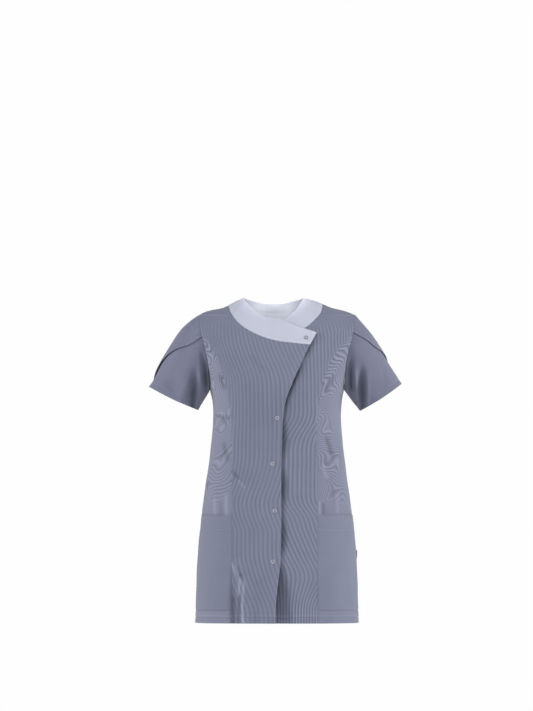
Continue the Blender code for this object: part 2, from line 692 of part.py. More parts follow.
def collar_wall(material):
    """The collar: a strip of doubled cloth from its seam on the body to its free edge."""
    outer, normal = collar_grid(neck_places(), np.linspace(0, 1, 5))
    inner = outer - normal * COLLAR_CLOTH
    outer, inner = inset(outer, ["bottom"], SEAM_GAP), inset(inner, ["bottom"], 2 * SEAM_GAP)
    return wall("collar", outer, inner, material)


def pocket_wall(name, surface, material):
    """A patch pocket, made from its side panel's own points and moved out."""
    rows = slice(ROW_LEVELS.index(POCKET_BOTTOM_Z), ROW_LEVELS.index(POCKET_TOP_Z) + 1)
    panel, normal = surface[0][rows], surface[1][rows]
    up = np.linspace(0, 1, len(panel))[:, None]
    across = np.linspace(0, 1, panel.shape[1])[None]
    mouth = POCKET_MOUTH * np.sin(np.pi * across) * ease(up, 0.45, 1)
    inner = inset(panel, ["left", "right"], POCKET_INSET) + normal * (LAYER_GAP + mouth)[..., None]
    return wall(name, inner + normal * POCKET_CLOTH, inner, material)


def overlap_place(x, z):
    """A place on the outside of the overlap, and the direction out of it."""
    place = on_body(x, z, True)
    normal = body_normal(place)
    return place + normal * (overlap_lift(place) + fold_height(place)), normal


def collar_place(section, across):
    """A place on the outside of the collar, and the direction out of it."""
    near = 0.05 * np.arange(-1, 2)
    outer, normal = collar_grid(section + near, across + near)
    return outer[1, 1], normal[1, 1]


def snap(name, place, normal, material):
    """A ring snap's ring, lying on the cloth."""
    centre = place + normal * (LAYER_GAP + SNAP_BEDDING)
    side = unit(np.cross([0.0, 0.0, 1.0], normal))
    up = np.cross(normal, side)
    inner = SNAP_RADIUS - SNAP_BAND
    profile = [(inner, 0.0), (SNAP_RADIUS, 0.0), (SNAP_RADIUS, 0.5 * SNAP_HEIGHT)]
    profile += [(SNAP_RADIUS - 0.3 * SNAP_BAND, SNAP_HEIGHT), (inner + 0.3 * SNAP_BAND, SNAP_HEIGHT)]
    profile += [(inner, 0.5 * SNAP_HEIGHT)]
    points, faces = [], []
    for k in range(SNAP_TURNS):
        turn = 2 * math.pi * k / SNAP_TURNS
        out = side * math.cos(turn) + up * math.sin(turn)
        points += [centre + out * radius + normal * height for radius, height in profile]
    for k in range(SNAP_TURNS):
        for j in range(len(profile)):
            here, there = k * len(profile), (k + 1) % SNAP_TURNS * len(profile)
            step = (j + 1) % len(profile)
            faces.append((here + j, here + step, there + step, there + j))
    return solid(name, points, faces, material)


def side_tab(material):
    """The small blank tab that stands out of the left side seam."""
    z = np.linspace(*TAB_Z, 4)
    root = half_width(z, True) + SEAM_GAP
    faces_at = []
    for y in (-TAB_CLOTH / 2, TAB_CLOTH / 2):
        rows = [np.stack([root + reach, np.full_like(z, y), z], -1) for reach in (0, TAB_REACH)]
        faces_at.append(np.stack(rows))
    return wall("side_tab", faces_at[0], faces_at[1], material)


def make_material(name):
    colour, roughness, metallic = MATERIALS[name]
    material = bpy.data.materials.new(name)
    material.use_nodes = True
    shader = material.node_tree.nodes["Principled BSDF"]
    shader.inputs["Base Color"].default_value = (*colour, 1.0)
    shader.inputs["Roughness"].default_value = roughness
    shader.inputs["Metallic"].default_value = metallic
    return material


def build():
    for old in list(bpy.data.objects):
        bpy.data.objects.remove(old, do_unlink=True)
    material = {name: make_material(name) for name in MATERIALS}
    right = centre_front(-1)
    cloth_wall("front_right", cloth_surface(right, overlap_lift(right)), material["stripe_cloth"])
    cloth_wall("front_left", cloth_surface(centre_front(1)), material["stripe_cloth"])
    cloth_wall("back", cloth_surface(back_grid()), material["stripe_cloth"])
    for name, side in (("right", -1), ("left", 1)):
        panel = cloth_surface(side_front(side))
        cloth_wall(f"side_front_{name}", panel, material["stripe_cloth"])
        pocket_wall(f"pocket_{name}", panel, material["plain_cloth"])
        sleeve_wall(name, False, material["plain_cloth"])
        sleeve_wall(name, True, material["stripe_cloth"])
    collar_wall(material["collar_cloth"])
    snap("snap_collar", *collar_place(**COLLAR_SNAP), material["snap_metal"])
    for name, (x, z) in SNAPS.items():
        snap(name, *overlap_place(x, z), material["snap_metal"])
    side_tab(material["tab_cloth"])


build()
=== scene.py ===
# %% [markdown]
# # A short-sleeved work tunic
#
# This lesson dresses a finished CAD frame of a women's work tunic. The frame already holds every sewn
# piece as a plain solid at its real size. Here each piece becomes a thin shell of cloth on the same
# form, with finer folds, hems, stitches and a woven pinstripe. The order is the order of a workroom:
# first the shape that the cloth lies on, then the panels, then what is sewn on them, then the light.
#
# Metres, +Z up. The front faces -Y, and the wearer's left is +X.

# %% Load the frame
import math

import bpy
import numpy as np
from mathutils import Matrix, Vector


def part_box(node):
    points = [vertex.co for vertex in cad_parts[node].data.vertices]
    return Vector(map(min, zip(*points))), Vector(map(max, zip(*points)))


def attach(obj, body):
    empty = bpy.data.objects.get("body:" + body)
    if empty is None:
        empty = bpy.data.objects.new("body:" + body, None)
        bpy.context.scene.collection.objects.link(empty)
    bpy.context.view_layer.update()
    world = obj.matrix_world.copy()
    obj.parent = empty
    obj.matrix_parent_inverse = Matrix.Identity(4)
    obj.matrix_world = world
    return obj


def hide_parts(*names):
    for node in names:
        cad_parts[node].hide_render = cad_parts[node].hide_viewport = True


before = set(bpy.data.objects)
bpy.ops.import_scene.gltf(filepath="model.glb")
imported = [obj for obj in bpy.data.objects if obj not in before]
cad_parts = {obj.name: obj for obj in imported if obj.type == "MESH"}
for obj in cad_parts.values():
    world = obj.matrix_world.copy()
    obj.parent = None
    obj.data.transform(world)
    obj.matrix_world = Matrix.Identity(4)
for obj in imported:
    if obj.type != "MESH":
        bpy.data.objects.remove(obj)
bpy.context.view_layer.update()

print("CAD nodes:", len(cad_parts))

# %% [markdown]
# ## Curves through short tables
#
# A pattern cutter writes a garment down as a few measures at named heights and draws smooth curves
# through them. We do the same. One function reads any short table as a smooth curve, so a dozen rows
# can stand for a whole side seam. Splines from Blender's curve tools could do it too, but a function
# can be asked for thousands of places at once, and a mesh needs just that. Two more helpers come back
# all the time: `ease` goes softly from 0 to 1, and `hump` is 1 on a line and dies away beside it.

# %% Curve helpers
TURN = 2 * math.pi


def table(columns, rows):
    """A short table whose columns are named. A column named in capitals holds a word."""
    kinds = [(name.lower(), "U24" if name.isupper() else float) for name in columns.split()]
    return np.array(rows, dtype=kinds)


def through(keys, values, at):
    """The smooth curve through some values, read at any places."""
    keys, values, at = np.asarray(keys), np.asarray(values), np.asarray(at, float)
    slopes = np.gradient(values, keys)
    at = np.clip(at, keys[0], keys[-1])
    low = np.clip(np.searchsorted(keys, at, side="right") - 1, 0, len(keys) - 2)
    step = keys[low + 1] - keys[low]
    t = (at - keys[low]) / step
    start = (1 + 2 * t) * (1 - t) ** 2 * values[low] + t * (1 - t) ** 2 * step * slopes[low]
    end = t * t * (3 - 2 * t) * values[low + 1] + t * t * (t - 1) * step * slopes[low + 1]
    return start + end


def read(rows, column, at):
    """A column of a table at any places, as a smooth curve over the table's first column."""
    return through(rows[rows.dtype.names[0]], rows[column], at)


def unit(vectors):
    """The same directions with length 1."""
    return vectors / np.linalg.norm(vectors, axis=-1, keepdims=True)


def ease(at, low, high):
    """0 up to low, 1 from high on, and smooth between them."""
    t = np.clip((at - low) / (high - low), 0, 1)
    return t * t * (3 - 2 * t)


def hump(far, reach):
    """1 where far is 0, and nearly 0 from twice the reach on."""
    return np.exp(-((far / reach) ** 2))


print("a quarter of the way, ease gives", round(float(ease(0.25, 0, 1)), 3))

# %% [markdown]
# ## The body that the cloth lies on
#
# The tunic is filled out as if worn, but its shape comes from its own cut: a soft waist, a flare to
# the hem and a bust that comes from the princess seams. Level sections give half the width and how far
# front and back stand out. Between the underarm and the shoulder line the sections close, like the
# top of a rounded box. Because the form is one formula, any point can be seated on it and asked for
# its outward direction, which is all that a thin shell needs.

# %% Sizes of the body
HEM_Z = -0.8207
UNDERARM_Z = -0.2176
TIP_Z = -0.0235
CLOTH = 0.0015
ROUNDNESS = 2.4

SECTIONS = table(
    "z half_width front back",
    [
        (HEM_Z, 0.2105, 0.141, 0.147),
        (-0.700, 0.2080, 0.139, 0.146),
        (-0.600, 0.2010, 0.134, 0.143),
        (-0.500, 0.1900, 0.127, 0.134),
        (-0.420, 0.1790, 0.121, 0.124),
        (-0.350, 0.1700, 0.120, 0.118),
        (-0.300, 0.1656, 0.125, 0.117),
        (-0.267, 0.1652, 0.131, 0.1185),
        (-0.240, 0.1682, 0.1355, 0.1205),
        (UNDERARM_Z, 0.1735, 0.138, 0.123),
        (-0.150, 0.1815, 0.129, 0.126),
        (-0.090, 0.1930, 0.109, 0.118),
        (-0.040, 0.2010, 0.095, 0.106),
        (0.000, 0.2030, 0.085, 0.097),
        (0.050, 0.2030, 0.075, 0.086),
    ],
)
SHOULDER_LINE = table(
    "x z",
    [(0.0, 0.046), (0.06, 0.030), (0.10, 0.0145), (0.117, 0.0060), (0.141, -0.0045), (0.165, -0.0100)]
    + [(0.185, -0.0155), (0.203, TIP_Z), (0.230, -0.040)],
)
ARMHOLE = table(
    "z x",
    [(UNDERARM_Z, 0.1735), (-0.180, 0.1765), (-0.133, 0.1830), (-0.100, 0.1895)]
    + [(-0.057, 0.1995), (TIP_Z, 0.2030)],
)
ARMHOLE_FRONT = 0.056
ARMHOLE_BACK = 0.050
MOST_SHARE = 0.9
HARDLY_OPEN = 1e-6
print("level sections:", len(SECTIONS), "and the body is", round(SECTIONS["z"][-1] - HEM_Z, 3), "m high")


# %% The body's form
def shoulder_z(x):
    """The height of the shoulder line so far from the middle."""
    return read(SHOULDER_LINE, "z", np.abs(x))


def armhole_x(z):
    """How far from the middle the armhole's edge lies at a height."""
    return read(ARMHOLE, "x", z)


def armhole_depth(z, front):
    """How far the armhole's edge lies from the shoulder line at a height: an oval."""
    middle, half = (TIP_Z + UNDERARM_Z) / 2, (TIP_Z - UNDERARM_Z) / 2
    oval = np.clip(1 - ((z - middle) / half) ** 2, 0, 1) ** (1 / ROUNDNESS)
    return np.where(front, ARMHOLE_FRONT, ARMHOLE_BACK) * oval


def rise(x, z):
    """0 at the underarm and 1 on the shoulder line."""
    return np.clip((z - UNDERARM_Z) / (shoulder_z(x) - UNDERARM_Z), 0, None)


def depth(z, front):
    """How far the front or the back stands out at a height."""
    return np.where(front, read(SECTIONS, "front", z), read(SECTIONS, "back", z))


def half_width(z, front):
    """The form's half width. Above the underarm it passes through the armhole's edge."""
    edge = armhole_x(z)
    open_top = np.clip(1 - rise(edge, z) ** ROUNDNESS, HARDLY_OPEN, 1)
    share = np.clip((armhole_depth(z, front) / depth(z, front)) ** ROUNDNESS / open_top, 0, MOST_SHARE)
    above = edge / (1 - share) ** (1 / ROUNDNESS)
    return np.where(z > UNDERARM_Z, above, read(SECTIONS, "half_width", z))


def room(x, z, front):
    """What the section leaves for the depth: 1 in the middle, 0 at the sides and on the shoulders."""
    side = 1 - (np.abs(x) / half_width(z, front)) ** ROUNDNESS
    top = 1 - rise(x, z) ** ROUNDNESS
    return np.where((side > 0) & (top > 0), side * top, np.minimum(side, top))


def on_body(x, z, front):
    """The point of the form at a place seen from the front or the back."""
    x, z = np.broadcast_arrays(np.asarray(x, float), np.asarray(z, float))
    y = depth(z, front) * np.clip(room(x, z, front), 0, None) ** (1 / ROUNDNESS)
    return np.stack([x, -y if front else y, z], -1)


print("half width at the waist:", round(float(half_width(np.array(-0.30), True)), 4), "m")

# %% Points seated on the form
SMALL_STEP = 2e-4
AXIS_DROP = 0.03
NEAREST_SHARE = 0.3
FARTHEST_SHARE = 2.5
HALVINGS = 30


def outside(p):
    """Above 0 outside the form, and 0 on it."""
    front = p[..., 1] < 0
    share = (np.abs(p[..., 1]) / depth(p[..., 2], front)) ** ROUNDNESS
    return share - room(p[..., 0], p[..., 2], front)


def body_normal(p):
    """The form's outward direction, from how fast it is left along each axis."""
    slopes = [outside(p + SMALL_STEP * axis) - outside(p - SMALL_STEP * axis) for axis in np.eye(3)]
    return unit(np.stack(slopes, -1))


def seat(p):
    """Moves points out from the body's axis onto its form, by halving the way again and again."""
    centre = np.zeros_like(p)
    centre[..., 2] = np.minimum(p[..., 2], UNDERARM_Z - AXIS_DROP)
    low, high = np.full(p.shape[:-1], NEAREST_SHARE), np.full(p.shape[:-1], FARTHEST_SHARE)
    for _ in range(HALVINGS):
        middle = (low + high) / 2
        inside = outside(centre + middle[..., None] * (p - centre)) < 0
        low, high = np.where(inside, middle, low), np.where(inside, high, middle)
    return centre + low[..., None] * (p - centre)


print("a point 10 cm before the axis at the waist is seated at", seat(np.array([0.0, -0.1, -0.30])).round(4))

# %% [markdown]
# ## Folds, creases and soft unevenness
#
# Cloth never lies perfectly smooth. The frame has the largest folds. Here they are repeated from the
# same places and joined by the finer ones that show from a step away: the sharp pair of ridges beside
# the right pocket, wrinkles at the waist, pouches above the pocket mouths. Each is a soft trough or
# ridge, uneven in length and depth, that dies away at its ends. The finer creases are also painted: a
# painted highlight makes the cloth a little lighter on a sharp ridge, and painted shade makes it darker
# in a trough. Below them lies a wide, very low unevenness made of a few sine waves, so that no large
# surface reflects like sheet metal. A cloth simulation would find folds of its own. Placing them one by
# one keeps them where the photograph has them.

# %% Large folds
FOLD_COLUMNS = "FACE from_x from_z to_x to_z half_width height"
LARGE_FOLDS = table(
    FOLD_COLUMNS,
    [
        ("front", -0.112, -0.655, -0.092, -0.700, 0.013, 0.0045),
        ("front", -0.092, -0.700, -0.084, -0.830, 0.013, 0.0065),
        ("front", -0.109, -0.700, -0.105, -0.830, 0.012, -0.0055),
        ("front", -0.060, -0.700, -0.050, -0.830, 0.016, -0.0040),
        ("front", -0.150, -0.285, -0.118, -0.320, 0.014, -0.0030),
        ("front", -0.115, -0.430, -0.080, -0.470, 0.015, -0.0028),
        ("front", 0.128, -0.420, 0.140, -0.520, 0.018, -0.0030),
        ("front", 0.103, -0.250, 0.101, -0.345, 0.010, 0.0020),
        ("front", 0.060, -0.640, 0.055, -0.830, 0.022, 0.0040),
        ("front", 0.135, -0.660, 0.150, -0.830, 0.026, 0.0045),
        ("front", -0.155, -0.640, -0.168, -0.830, 0.026, 0.0040),
        ("back", -0.110, -0.560, -0.128, -0.840, 0.026, 0.0065),
        ("back", -0.055, -0.600, -0.060, -0.840, 0.022, -0.0055),
        ("back", 0.012, -0.540, 0.004, -0.840, 0.026, 0.0060),
        ("back", 0.072, -0.610, 0.070, -0.840, 0.022, -0.0060),
        ("back", 0.128, -0.570, 0.140, -0.840, 0.026, 0.0060),
        ("back", -0.110, -0.345, 0.010, -0.372, 0.016, -0.0032),
        ("back", 0.120, -0.390, 0.000, -0.408, 0.015, -0.0034),
        ("back", -0.150, -0.215, -0.120, -0.330, 0.018, -0.0035),
        ("back", 0.150, -0.215, 0.125, -0.320, 0.018, -0.0035),
    ],
)
print("large folds:", len(LARGE_FOLDS))

# %% Fine creases
FINE_CREASES = table(
    FOLD_COLUMNS,
    [
        ("front", -0.1170, -0.658, -0.0920, -0.724, 0.0027, 0.0022),
        ("front", -0.0948, -0.706, -0.0985, -0.756, 0.0029, 0.0020),
        ("front", -0.0845, -0.704, -0.0890, -0.785, 0.0027, 0.0022),
        ("front", -0.0888, -0.765, -0.0868, -0.822, 0.0029, 0.0022),
        ("front", -0.0945, -0.795, -0.0780, -0.830, 0.0030, 0.0010),
        ("front", -0.1030, -0.668, -0.0880, -0.716, 0.0026, -0.0010),
        ("front", -0.0980, -0.735, -0.0985, -0.830, 0.0055, -0.0016),
        ("front", -0.1125, -0.735, -0.1130, -0.830, 0.0050, -0.0012),
        ("front", -0.1560, -0.284, -0.1240, -0.296, 0.0042, -0.0013),
        ("front", -0.1500, -0.274, -0.1330, -0.281, 0.0036, 0.0009),
        ("front", -0.1170, -0.425, -0.0960, -0.452, 0.0044, -0.0009),
        ("front", -0.1040, -0.446, -0.0820, -0.474, 0.0034, 0.0009),
        ("front", -0.1610, -0.490, -0.1600, -0.548, 0.0036, 0.0010),
        ("front", -0.1310, -0.480, -0.1300, -0.548, 0.0036, 0.0012),
        ("front", -0.1460, -0.500, -0.1440, -0.546, 0.0050, -0.0006),
        ("front", 0.1560, -0.478, 0.1570, -0.545, 0.0044, 0.0009),
        ("front", 0.1190, -0.505, 0.1200, -0.545, 0.0044, -0.0010),
        ("front", 0.1090, -0.500, 0.1100, -0.546, 0.0036, 0.0011),
        ("front", 0.1240, -0.330, 0.1480, -0.400, 0.0060, -0.0013),
        ("front", 0.1120, -0.405, 0.1340, -0.452, 0.0056, 0.0011),
        ("front", -0.1400, -0.345, -0.1250, -0.410, 0.0060, -0.0011),
        ("front", -0.0750, -0.120, -0.0300, -0.175, 0.0080, -0.0004),
        ("front", 0.1480, -0.175, 0.1250, -0.225, 0.0060, -0.0012),
        ("front", -0.1520, -0.170, -0.1330, -0.220, 0.0060, -0.0012),
        ("back", -0.0900, -0.332, -0.0250, -0.346, 0.0058, -0.0016),
        ("back", -0.0700, -0.354, 0.0150, -0.358, 0.0052, 0.0012),
        ("back", 0.0950, -0.372, 0.0300, -0.384, 0.0060, -0.0015),
        ("back", 0.1080, -0.410, 0.0450, -0.420, 0.0052, 0.0012),
        ("back", -0.1300, -0.590, -0.1380, -0.700, 0.0060, 0.0014),
        ("back", 0.0960, -0.640, 0.1040, -0.760, 0.0064, 0.0015),
        ("back", -0.1390, -0.190, -0.1180, -0.262, 0.0060, -0.0015),
        ("back", 0.1370, -0.185, 0.1150, -0.255, 0.0060, -0.0014),
        ("back", 0.0300, -0.440, 0.0050, -0.540, 0.0100, 0.0012),
    ],
)
FOLDS = np.concatenate([LARGE_FOLDS, FINE_CREASES])
print("fine creases:", len(FINE_CREASES))

# %% The shape of a fold
SIDE_CLEAR = 0.03
FADES = 0.25
# Painted highlight on the fine creases' ridges and painted shade in their troughs, on each face.
PAINTED_CREASE_SHADING = {"front": 0.50, "back": 0.14}
FULL_PAINTED_SHADING_AT = 0.0020


def crease(place, start, end, half_width, runs_out, fades_in):
    """1 along a soft fold from start to end, and 0 away from it. One that runs out keeps its height."""
    run = end - start
    t = np.clip(((place - start) @ run) / (run @ run), 0, 1)
    away = np.linalg.norm(place - start - t[..., None] * run, axis=-1)
    return hump(away, half_width) * ease(t, 0, fades_in) * (1 if runs_out else 1 - ease(t, 1 - FADES, 1))


def crease_shapes(place, rows, cloth_ends, fades_in=FADES, scale=1.0):
    """Each row of a table of folds with its shape. A fold that passes where the cloth ends runs out."""
    for row in rows:
        start, end = np.array(row.tolist()[1:5]).reshape(2, 2)
        runs_out = abs(end[1]) > abs(cloth_ends)
        yield row, crease(place, start * scale, end * scale, row["half_width"], runs_out, fades_in)


def body_folds(p, rows):
    """Each row of a table of the body's folds with its shape at each point, on its own face only."""
    for row, shape in crease_shapes(p[..., [0, 2]], rows, HEM_Z):
        facing = p[..., 1] < 0 if row["face"] == "front" else p[..., 1] > 0
        yield row, shape * facing * ease(np.abs(p[..., 1]), 0.0, SIDE_CLEAR)


def fold_height(p):
    """How far the folds stand out of the form at each point."""
    return sum(row["height"] * shape for row, shape in body_folds(p, FOLDS))


def crease_tone(p):
    """Painted highlight on a fine ridge and painted shade in a trough: how much lighter or darker the cloth
    is painted than flat cloth.
    """
    return sum(
        PAINTED_CREASE_SHADING[row["face"]] * np.clip(row["height"] / FULL_PAINTED_SHADING_AT, -1, 1) * shape
        for row, shape in body_folds(p, FINE_CREASES)
    )


ridge = on_body(-0.084, -0.80, True)
print("the ridge beside the right pocket is", round(1000 * float(fold_height(ridge)), 1), "mm high")

# %% Soft unevenness
WAVE_COUNT = 9
WAVE_HEIGHT = 0.00024
WAVE_LENGTHS = (0.055, 0.16)
WAVE_DIRECTIONS = (1.0, 1.0, 0.6)
HELD_FLAT = 0.014
SNAP_NAMES = sorted(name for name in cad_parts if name.startswith("snap_"))
SNAP_PLACES = [np.mean(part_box(name), axis=0) for name in SNAP_NAMES]
chance = np.random.default_rng(7)


def random_waves(count, directions, lengths):
    """Crossing sine waves: how fast each one turns along each axis, and where it starts."""
    waves = unit(chance.normal(size=(count, len(directions))) * directions)
    waves *= TURN / chance.uniform(*lengths, size=(count, 1))
    return waves, chance.uniform(0, TURN, count)


def sum_of(waves, places):
    """The sum of crossing sine waves at any places."""
    turns, starts = waves
    return np.sin(places @ turns.T + starts).sum(-1)


WAVES = random_waves(WAVE_COUNT, WAVE_DIRECTIONS, WAVE_LENGTHS)


def unevenness(p):
    """A wide, low unevenness, stilled where a snap holds the cloth flat."""
    height = WAVE_HEIGHT * sum_of(WAVES, p)
    for place in SNAP_PLACES:
        far = np.linalg.norm(p - place, axis=-1)
        height = height * (1 - np.exp(-((far / HELD_FLAT) ** 4)))
    return height


print("the unevenness is at most", round(2000 * WAVE_COUNT * WAVE_HEIGHT, 1), "mm from top to bottom")

# %% [markdown]
# ## The seams
#
# Every panel ends at a seam, so the seams come before the panels. The princess seams run from the
# hem over the bust into the armholes and carry the shaping. The armhole is an oval that leans with the
# shoulder. The free edge of the crossover drops from the collar's tab towards the middle and then runs
# straight down to the hem. Both neighbours of a seam ask the same function for it, so they always meet.

# %% Seam tables
PRINCESS = table(
    "z right left",
    [
        (HEM_Z, 0.1167, 0.1040),
        (-0.450, 0.1170, 0.1030),
        (-0.360, 0.1167, 0.1010),
        (-0.288, 0.1195, 0.1030),
        (-0.231, 0.1270, 0.1090),
        (-0.171, 0.1425, 0.1280),
        (-0.114, 0.1640, 0.1590),
        (-0.0721, 0.1962, 0.1962),
    ],
)
FREE_EDGE = table(
    "z x stand_off",
    [
        (HEM_Z, -0.0052, 0.0135),
        (-0.762, -0.0026, 0.0105),
        (-0.705, 0.0036, 0.0055),
        (-0.661, 0.0086, 0.0012),
        (-0.595, 0.0102, 0.0040),
        (-0.530, 0.0104, 0.0012),
        (-0.470, 0.0104, 0.0050),
        (-0.408, 0.0106, 0.0012),
        (-0.347, 0.0127, 0.0042),
        (-0.2826, 0.0156, 0.0010),
        (-0.2386, 0.0233, 0.0036),
        (-0.2048, 0.0363, 0.0045),
        (-0.153, 0.0596, 0.0038),
        (-0.1009, 0.0843, 0.0010),
        (-0.0682, 0.1010, 0.0008),
    ],
)
print("the free edge stands off", round(1000 * FREE_EDGE["stand_off"].max(), 1), "mm at most")

# %% The crossover
OVERLAP_WIDTH = 0.042
OVERLAP_LIFT = 0.0025
OVERLAP_SETTLES = (0.050, 0.084)
EDGE_BENDS_OVER = 0.045
HOLLOW_FADES_BEHIND = 0.030
# The tone column is a painted shadow: how much darker the underlap is painted beside the free edge.
UNDERLAP_HOLLOW = table(
    "z depth behind beyond tone",
    [
        (HEM_Z, 0.0180, 0.010, 0.024, -0.17),
        (-0.762, 0.0150, 0.009, 0.021, -0.18),
        (-0.705, 0.0110, 0.007, 0.013, -0.20),
        (-0.661, 0.0015, 0.004, 0.006, -0.05),
        (-0.600, 0.0085, 0.004, 0.008, -0.24),
        (-0.530, 0.0030, 0.004, 0.006, -0.10),
        (-0.470, 0.0090, 0.004, 0.008, -0.24),
        (-0.408, 0.0030, 0.004, 0.006, -0.15),
        (-0.350, 0.0085, 0.004, 0.007, -0.26),
        (-0.2826, 0.0030, 0.003, 0.006, -0.25),
        (-0.2386, 0.0085, 0.003, 0.006, -0.40),
        (-0.170, 0.0075, 0.003, 0.006, -0.42),
        (-0.142, 0.0020, 0.003, 0.006, -0.12),
        (-0.115, 0.0055, 0.003, 0.006, -0.38),
        (-0.098, 0.0040, 0.003, 0.006, -0.32),
        (-0.068, 0.0, 0.003, 0.006, 0.0),
    ],
)


def free_edge_x(z):
    """Where the right front's free edge lies at a height."""
    return read(FREE_EDGE, "x", z)


def overlap_lift(p):
    """How far the overlap lies out from the form: a cloth's thickness over the underlap, its edge more."""
    behind = free_edge_x(p[..., 2]) - p[..., 0]
    stand_off = read(FREE_EDGE, "stand_off", p[..., 2])
    over_underlap = 1 - ease(behind, *OVERLAP_SETTLES)
    return OVERLAP_LIFT * over_underlap + stand_off * (1 - ease(behind, 0.0, EDGE_BENDS_OVER))


def underlap_hollow(p, column):
    """The hollow beneath the free edge, where only the snaps hold the underlap up: its depth, or its tone,
    which is a painted shadow beside the edge.
    """
    most, behind, beyond = (read(UNDERLAP_HOLLOW, name, p[..., 2]) for name in (column, "behind", "beyond"))
    from_middle = p[..., 0] - free_edge_x(p[..., 2]) + behind
    return most * hump(from_middle, np.where(from_middle > 0, behind + beyond, HOLLOW_FADES_BEHIND))


print("the underlap sinks", round(1000 * UNDERLAP_HOLLOW["depth"].max(), 1), "mm at most")

# %% Rows and points along a line
HEM_ROW = 0.00145
HEM_ROWS = 14
HEM_STITCH_ROW = 10
CHEST_Z = -0.352
SKIRT_ROWS = 112
CHEST_ROWS = 62
LOW_ROWS = HEM_ROWS + SKIRT_ROWS + 1


def levels_up_to(top):
    """Row levels: close together in the hem, then even up to the chest, then even to the top."""
    hem = HEM_Z + HEM_ROW * np.arange(HEM_ROWS)
    skirt = np.linspace(HEM_Z + HEM_ROW * HEM_ROWS, CHEST_Z, SKIRT_ROWS, endpoint=False)
    return np.concatenate([hem, skirt, np.linspace(CHEST_Z, top, CHEST_ROWS)])


def closer_at_ends(count, closer=0.6):
    """Shares from 0 to 1 that lie closer together at both ends, where a seam needs finer points."""
    t = np.linspace(0, 1, count)
    return t - closer * np.sin(TURN * t) / TURN


def points_at(at, far, points):
    """Points read from a line of them, each of which lies so far along it."""
    return np.stack([np.interp(at, far, points[:, k]) for k in range(3)], -1)


def spread(points, shares):
    """A line of points read again at shares of its length."""
    far = np.concatenate([[0], np.cumsum(np.linalg.norm(np.diff(points, axis=0), axis=1))])
    return points_at(np.asarray(shares) * far[-1], far, points)


print("rows up to the armhole:", len(levels_up_to(UNDERARM_Z)))

# %% Points along the seams
PRINCESS_ANGLE = 60
SHOULDER_ROWS = 18
ARC_POINTS = 160


def armhole_line(side, angles):
    """Points on the armhole's edge at angles in degrees from the shoulder, above 0 on the front."""
    angles = np.asarray(angles, float)
    z = (TIP_Z + UNDERARM_Z) / 2 + (TIP_Z - UNDERARM_Z) / 2 * np.cos(np.radians(angles))
    deep = armhole_depth(z, angles > 0)
    return np.stack([side * armhole_x(z), np.where(angles > 0, -deep, deep), z], -1)


def shoulder_seam(side, neck_x):
    """Points from the shoulder's tip to the neck."""
    x = np.linspace(armhole_x(TIP_Z), abs(neck_x), SHOULDER_ROWS + 1)
    return np.stack([side * x, np.zeros_like(x), shoulder_z(x)], -1)


def princess_seam(side):
    """Points from the hem up the princess seam to the armhole."""
    z = levels_up_to(PRINCESS["z"][-1])
    line = on_body(side * read(PRINCESS, "left" if side > 0 else "right", z), z, True)
    line[-1] = armhole_line(side, [PRINCESS_ANGLE])[0]
    return line


def side_seam(side):
    """Points from the hem up the side seam to the underarm."""
    z = levels_up_to(UNDERARM_Z)
    return np.stack([side * half_width(z, True), np.zeros_like(z), z], -1)


def level_arc(x_0, x_1, z, shares, front):
    """Points along a level section between two places."""
    share = np.linspace(0, 1, ARC_POINTS)
    width = float(half_width(np.array(z), front))
    turn = np.arcsin(np.clip(np.array([x_0, x_1]) / width, -1, 1))
    x = width * np.sin(turn[0] + share * (turn[1] - turn[0]))
    return spread(on_body(x, np.full_like(x, z), front), shares)


print("the right princess seam meets the armhole at", princess_seam(-1)[-1].round(4))

# %% [markdown]
# ## The neck
#
# The collar is a straight band of doubled white cloth. It starts as a tab over the crossover, passes
# round the neck and ends hidden under the tab. A table holds its sections: where its seam lies on the
# body, and where its free edge stands. The body's panels read their neck line from the same table.

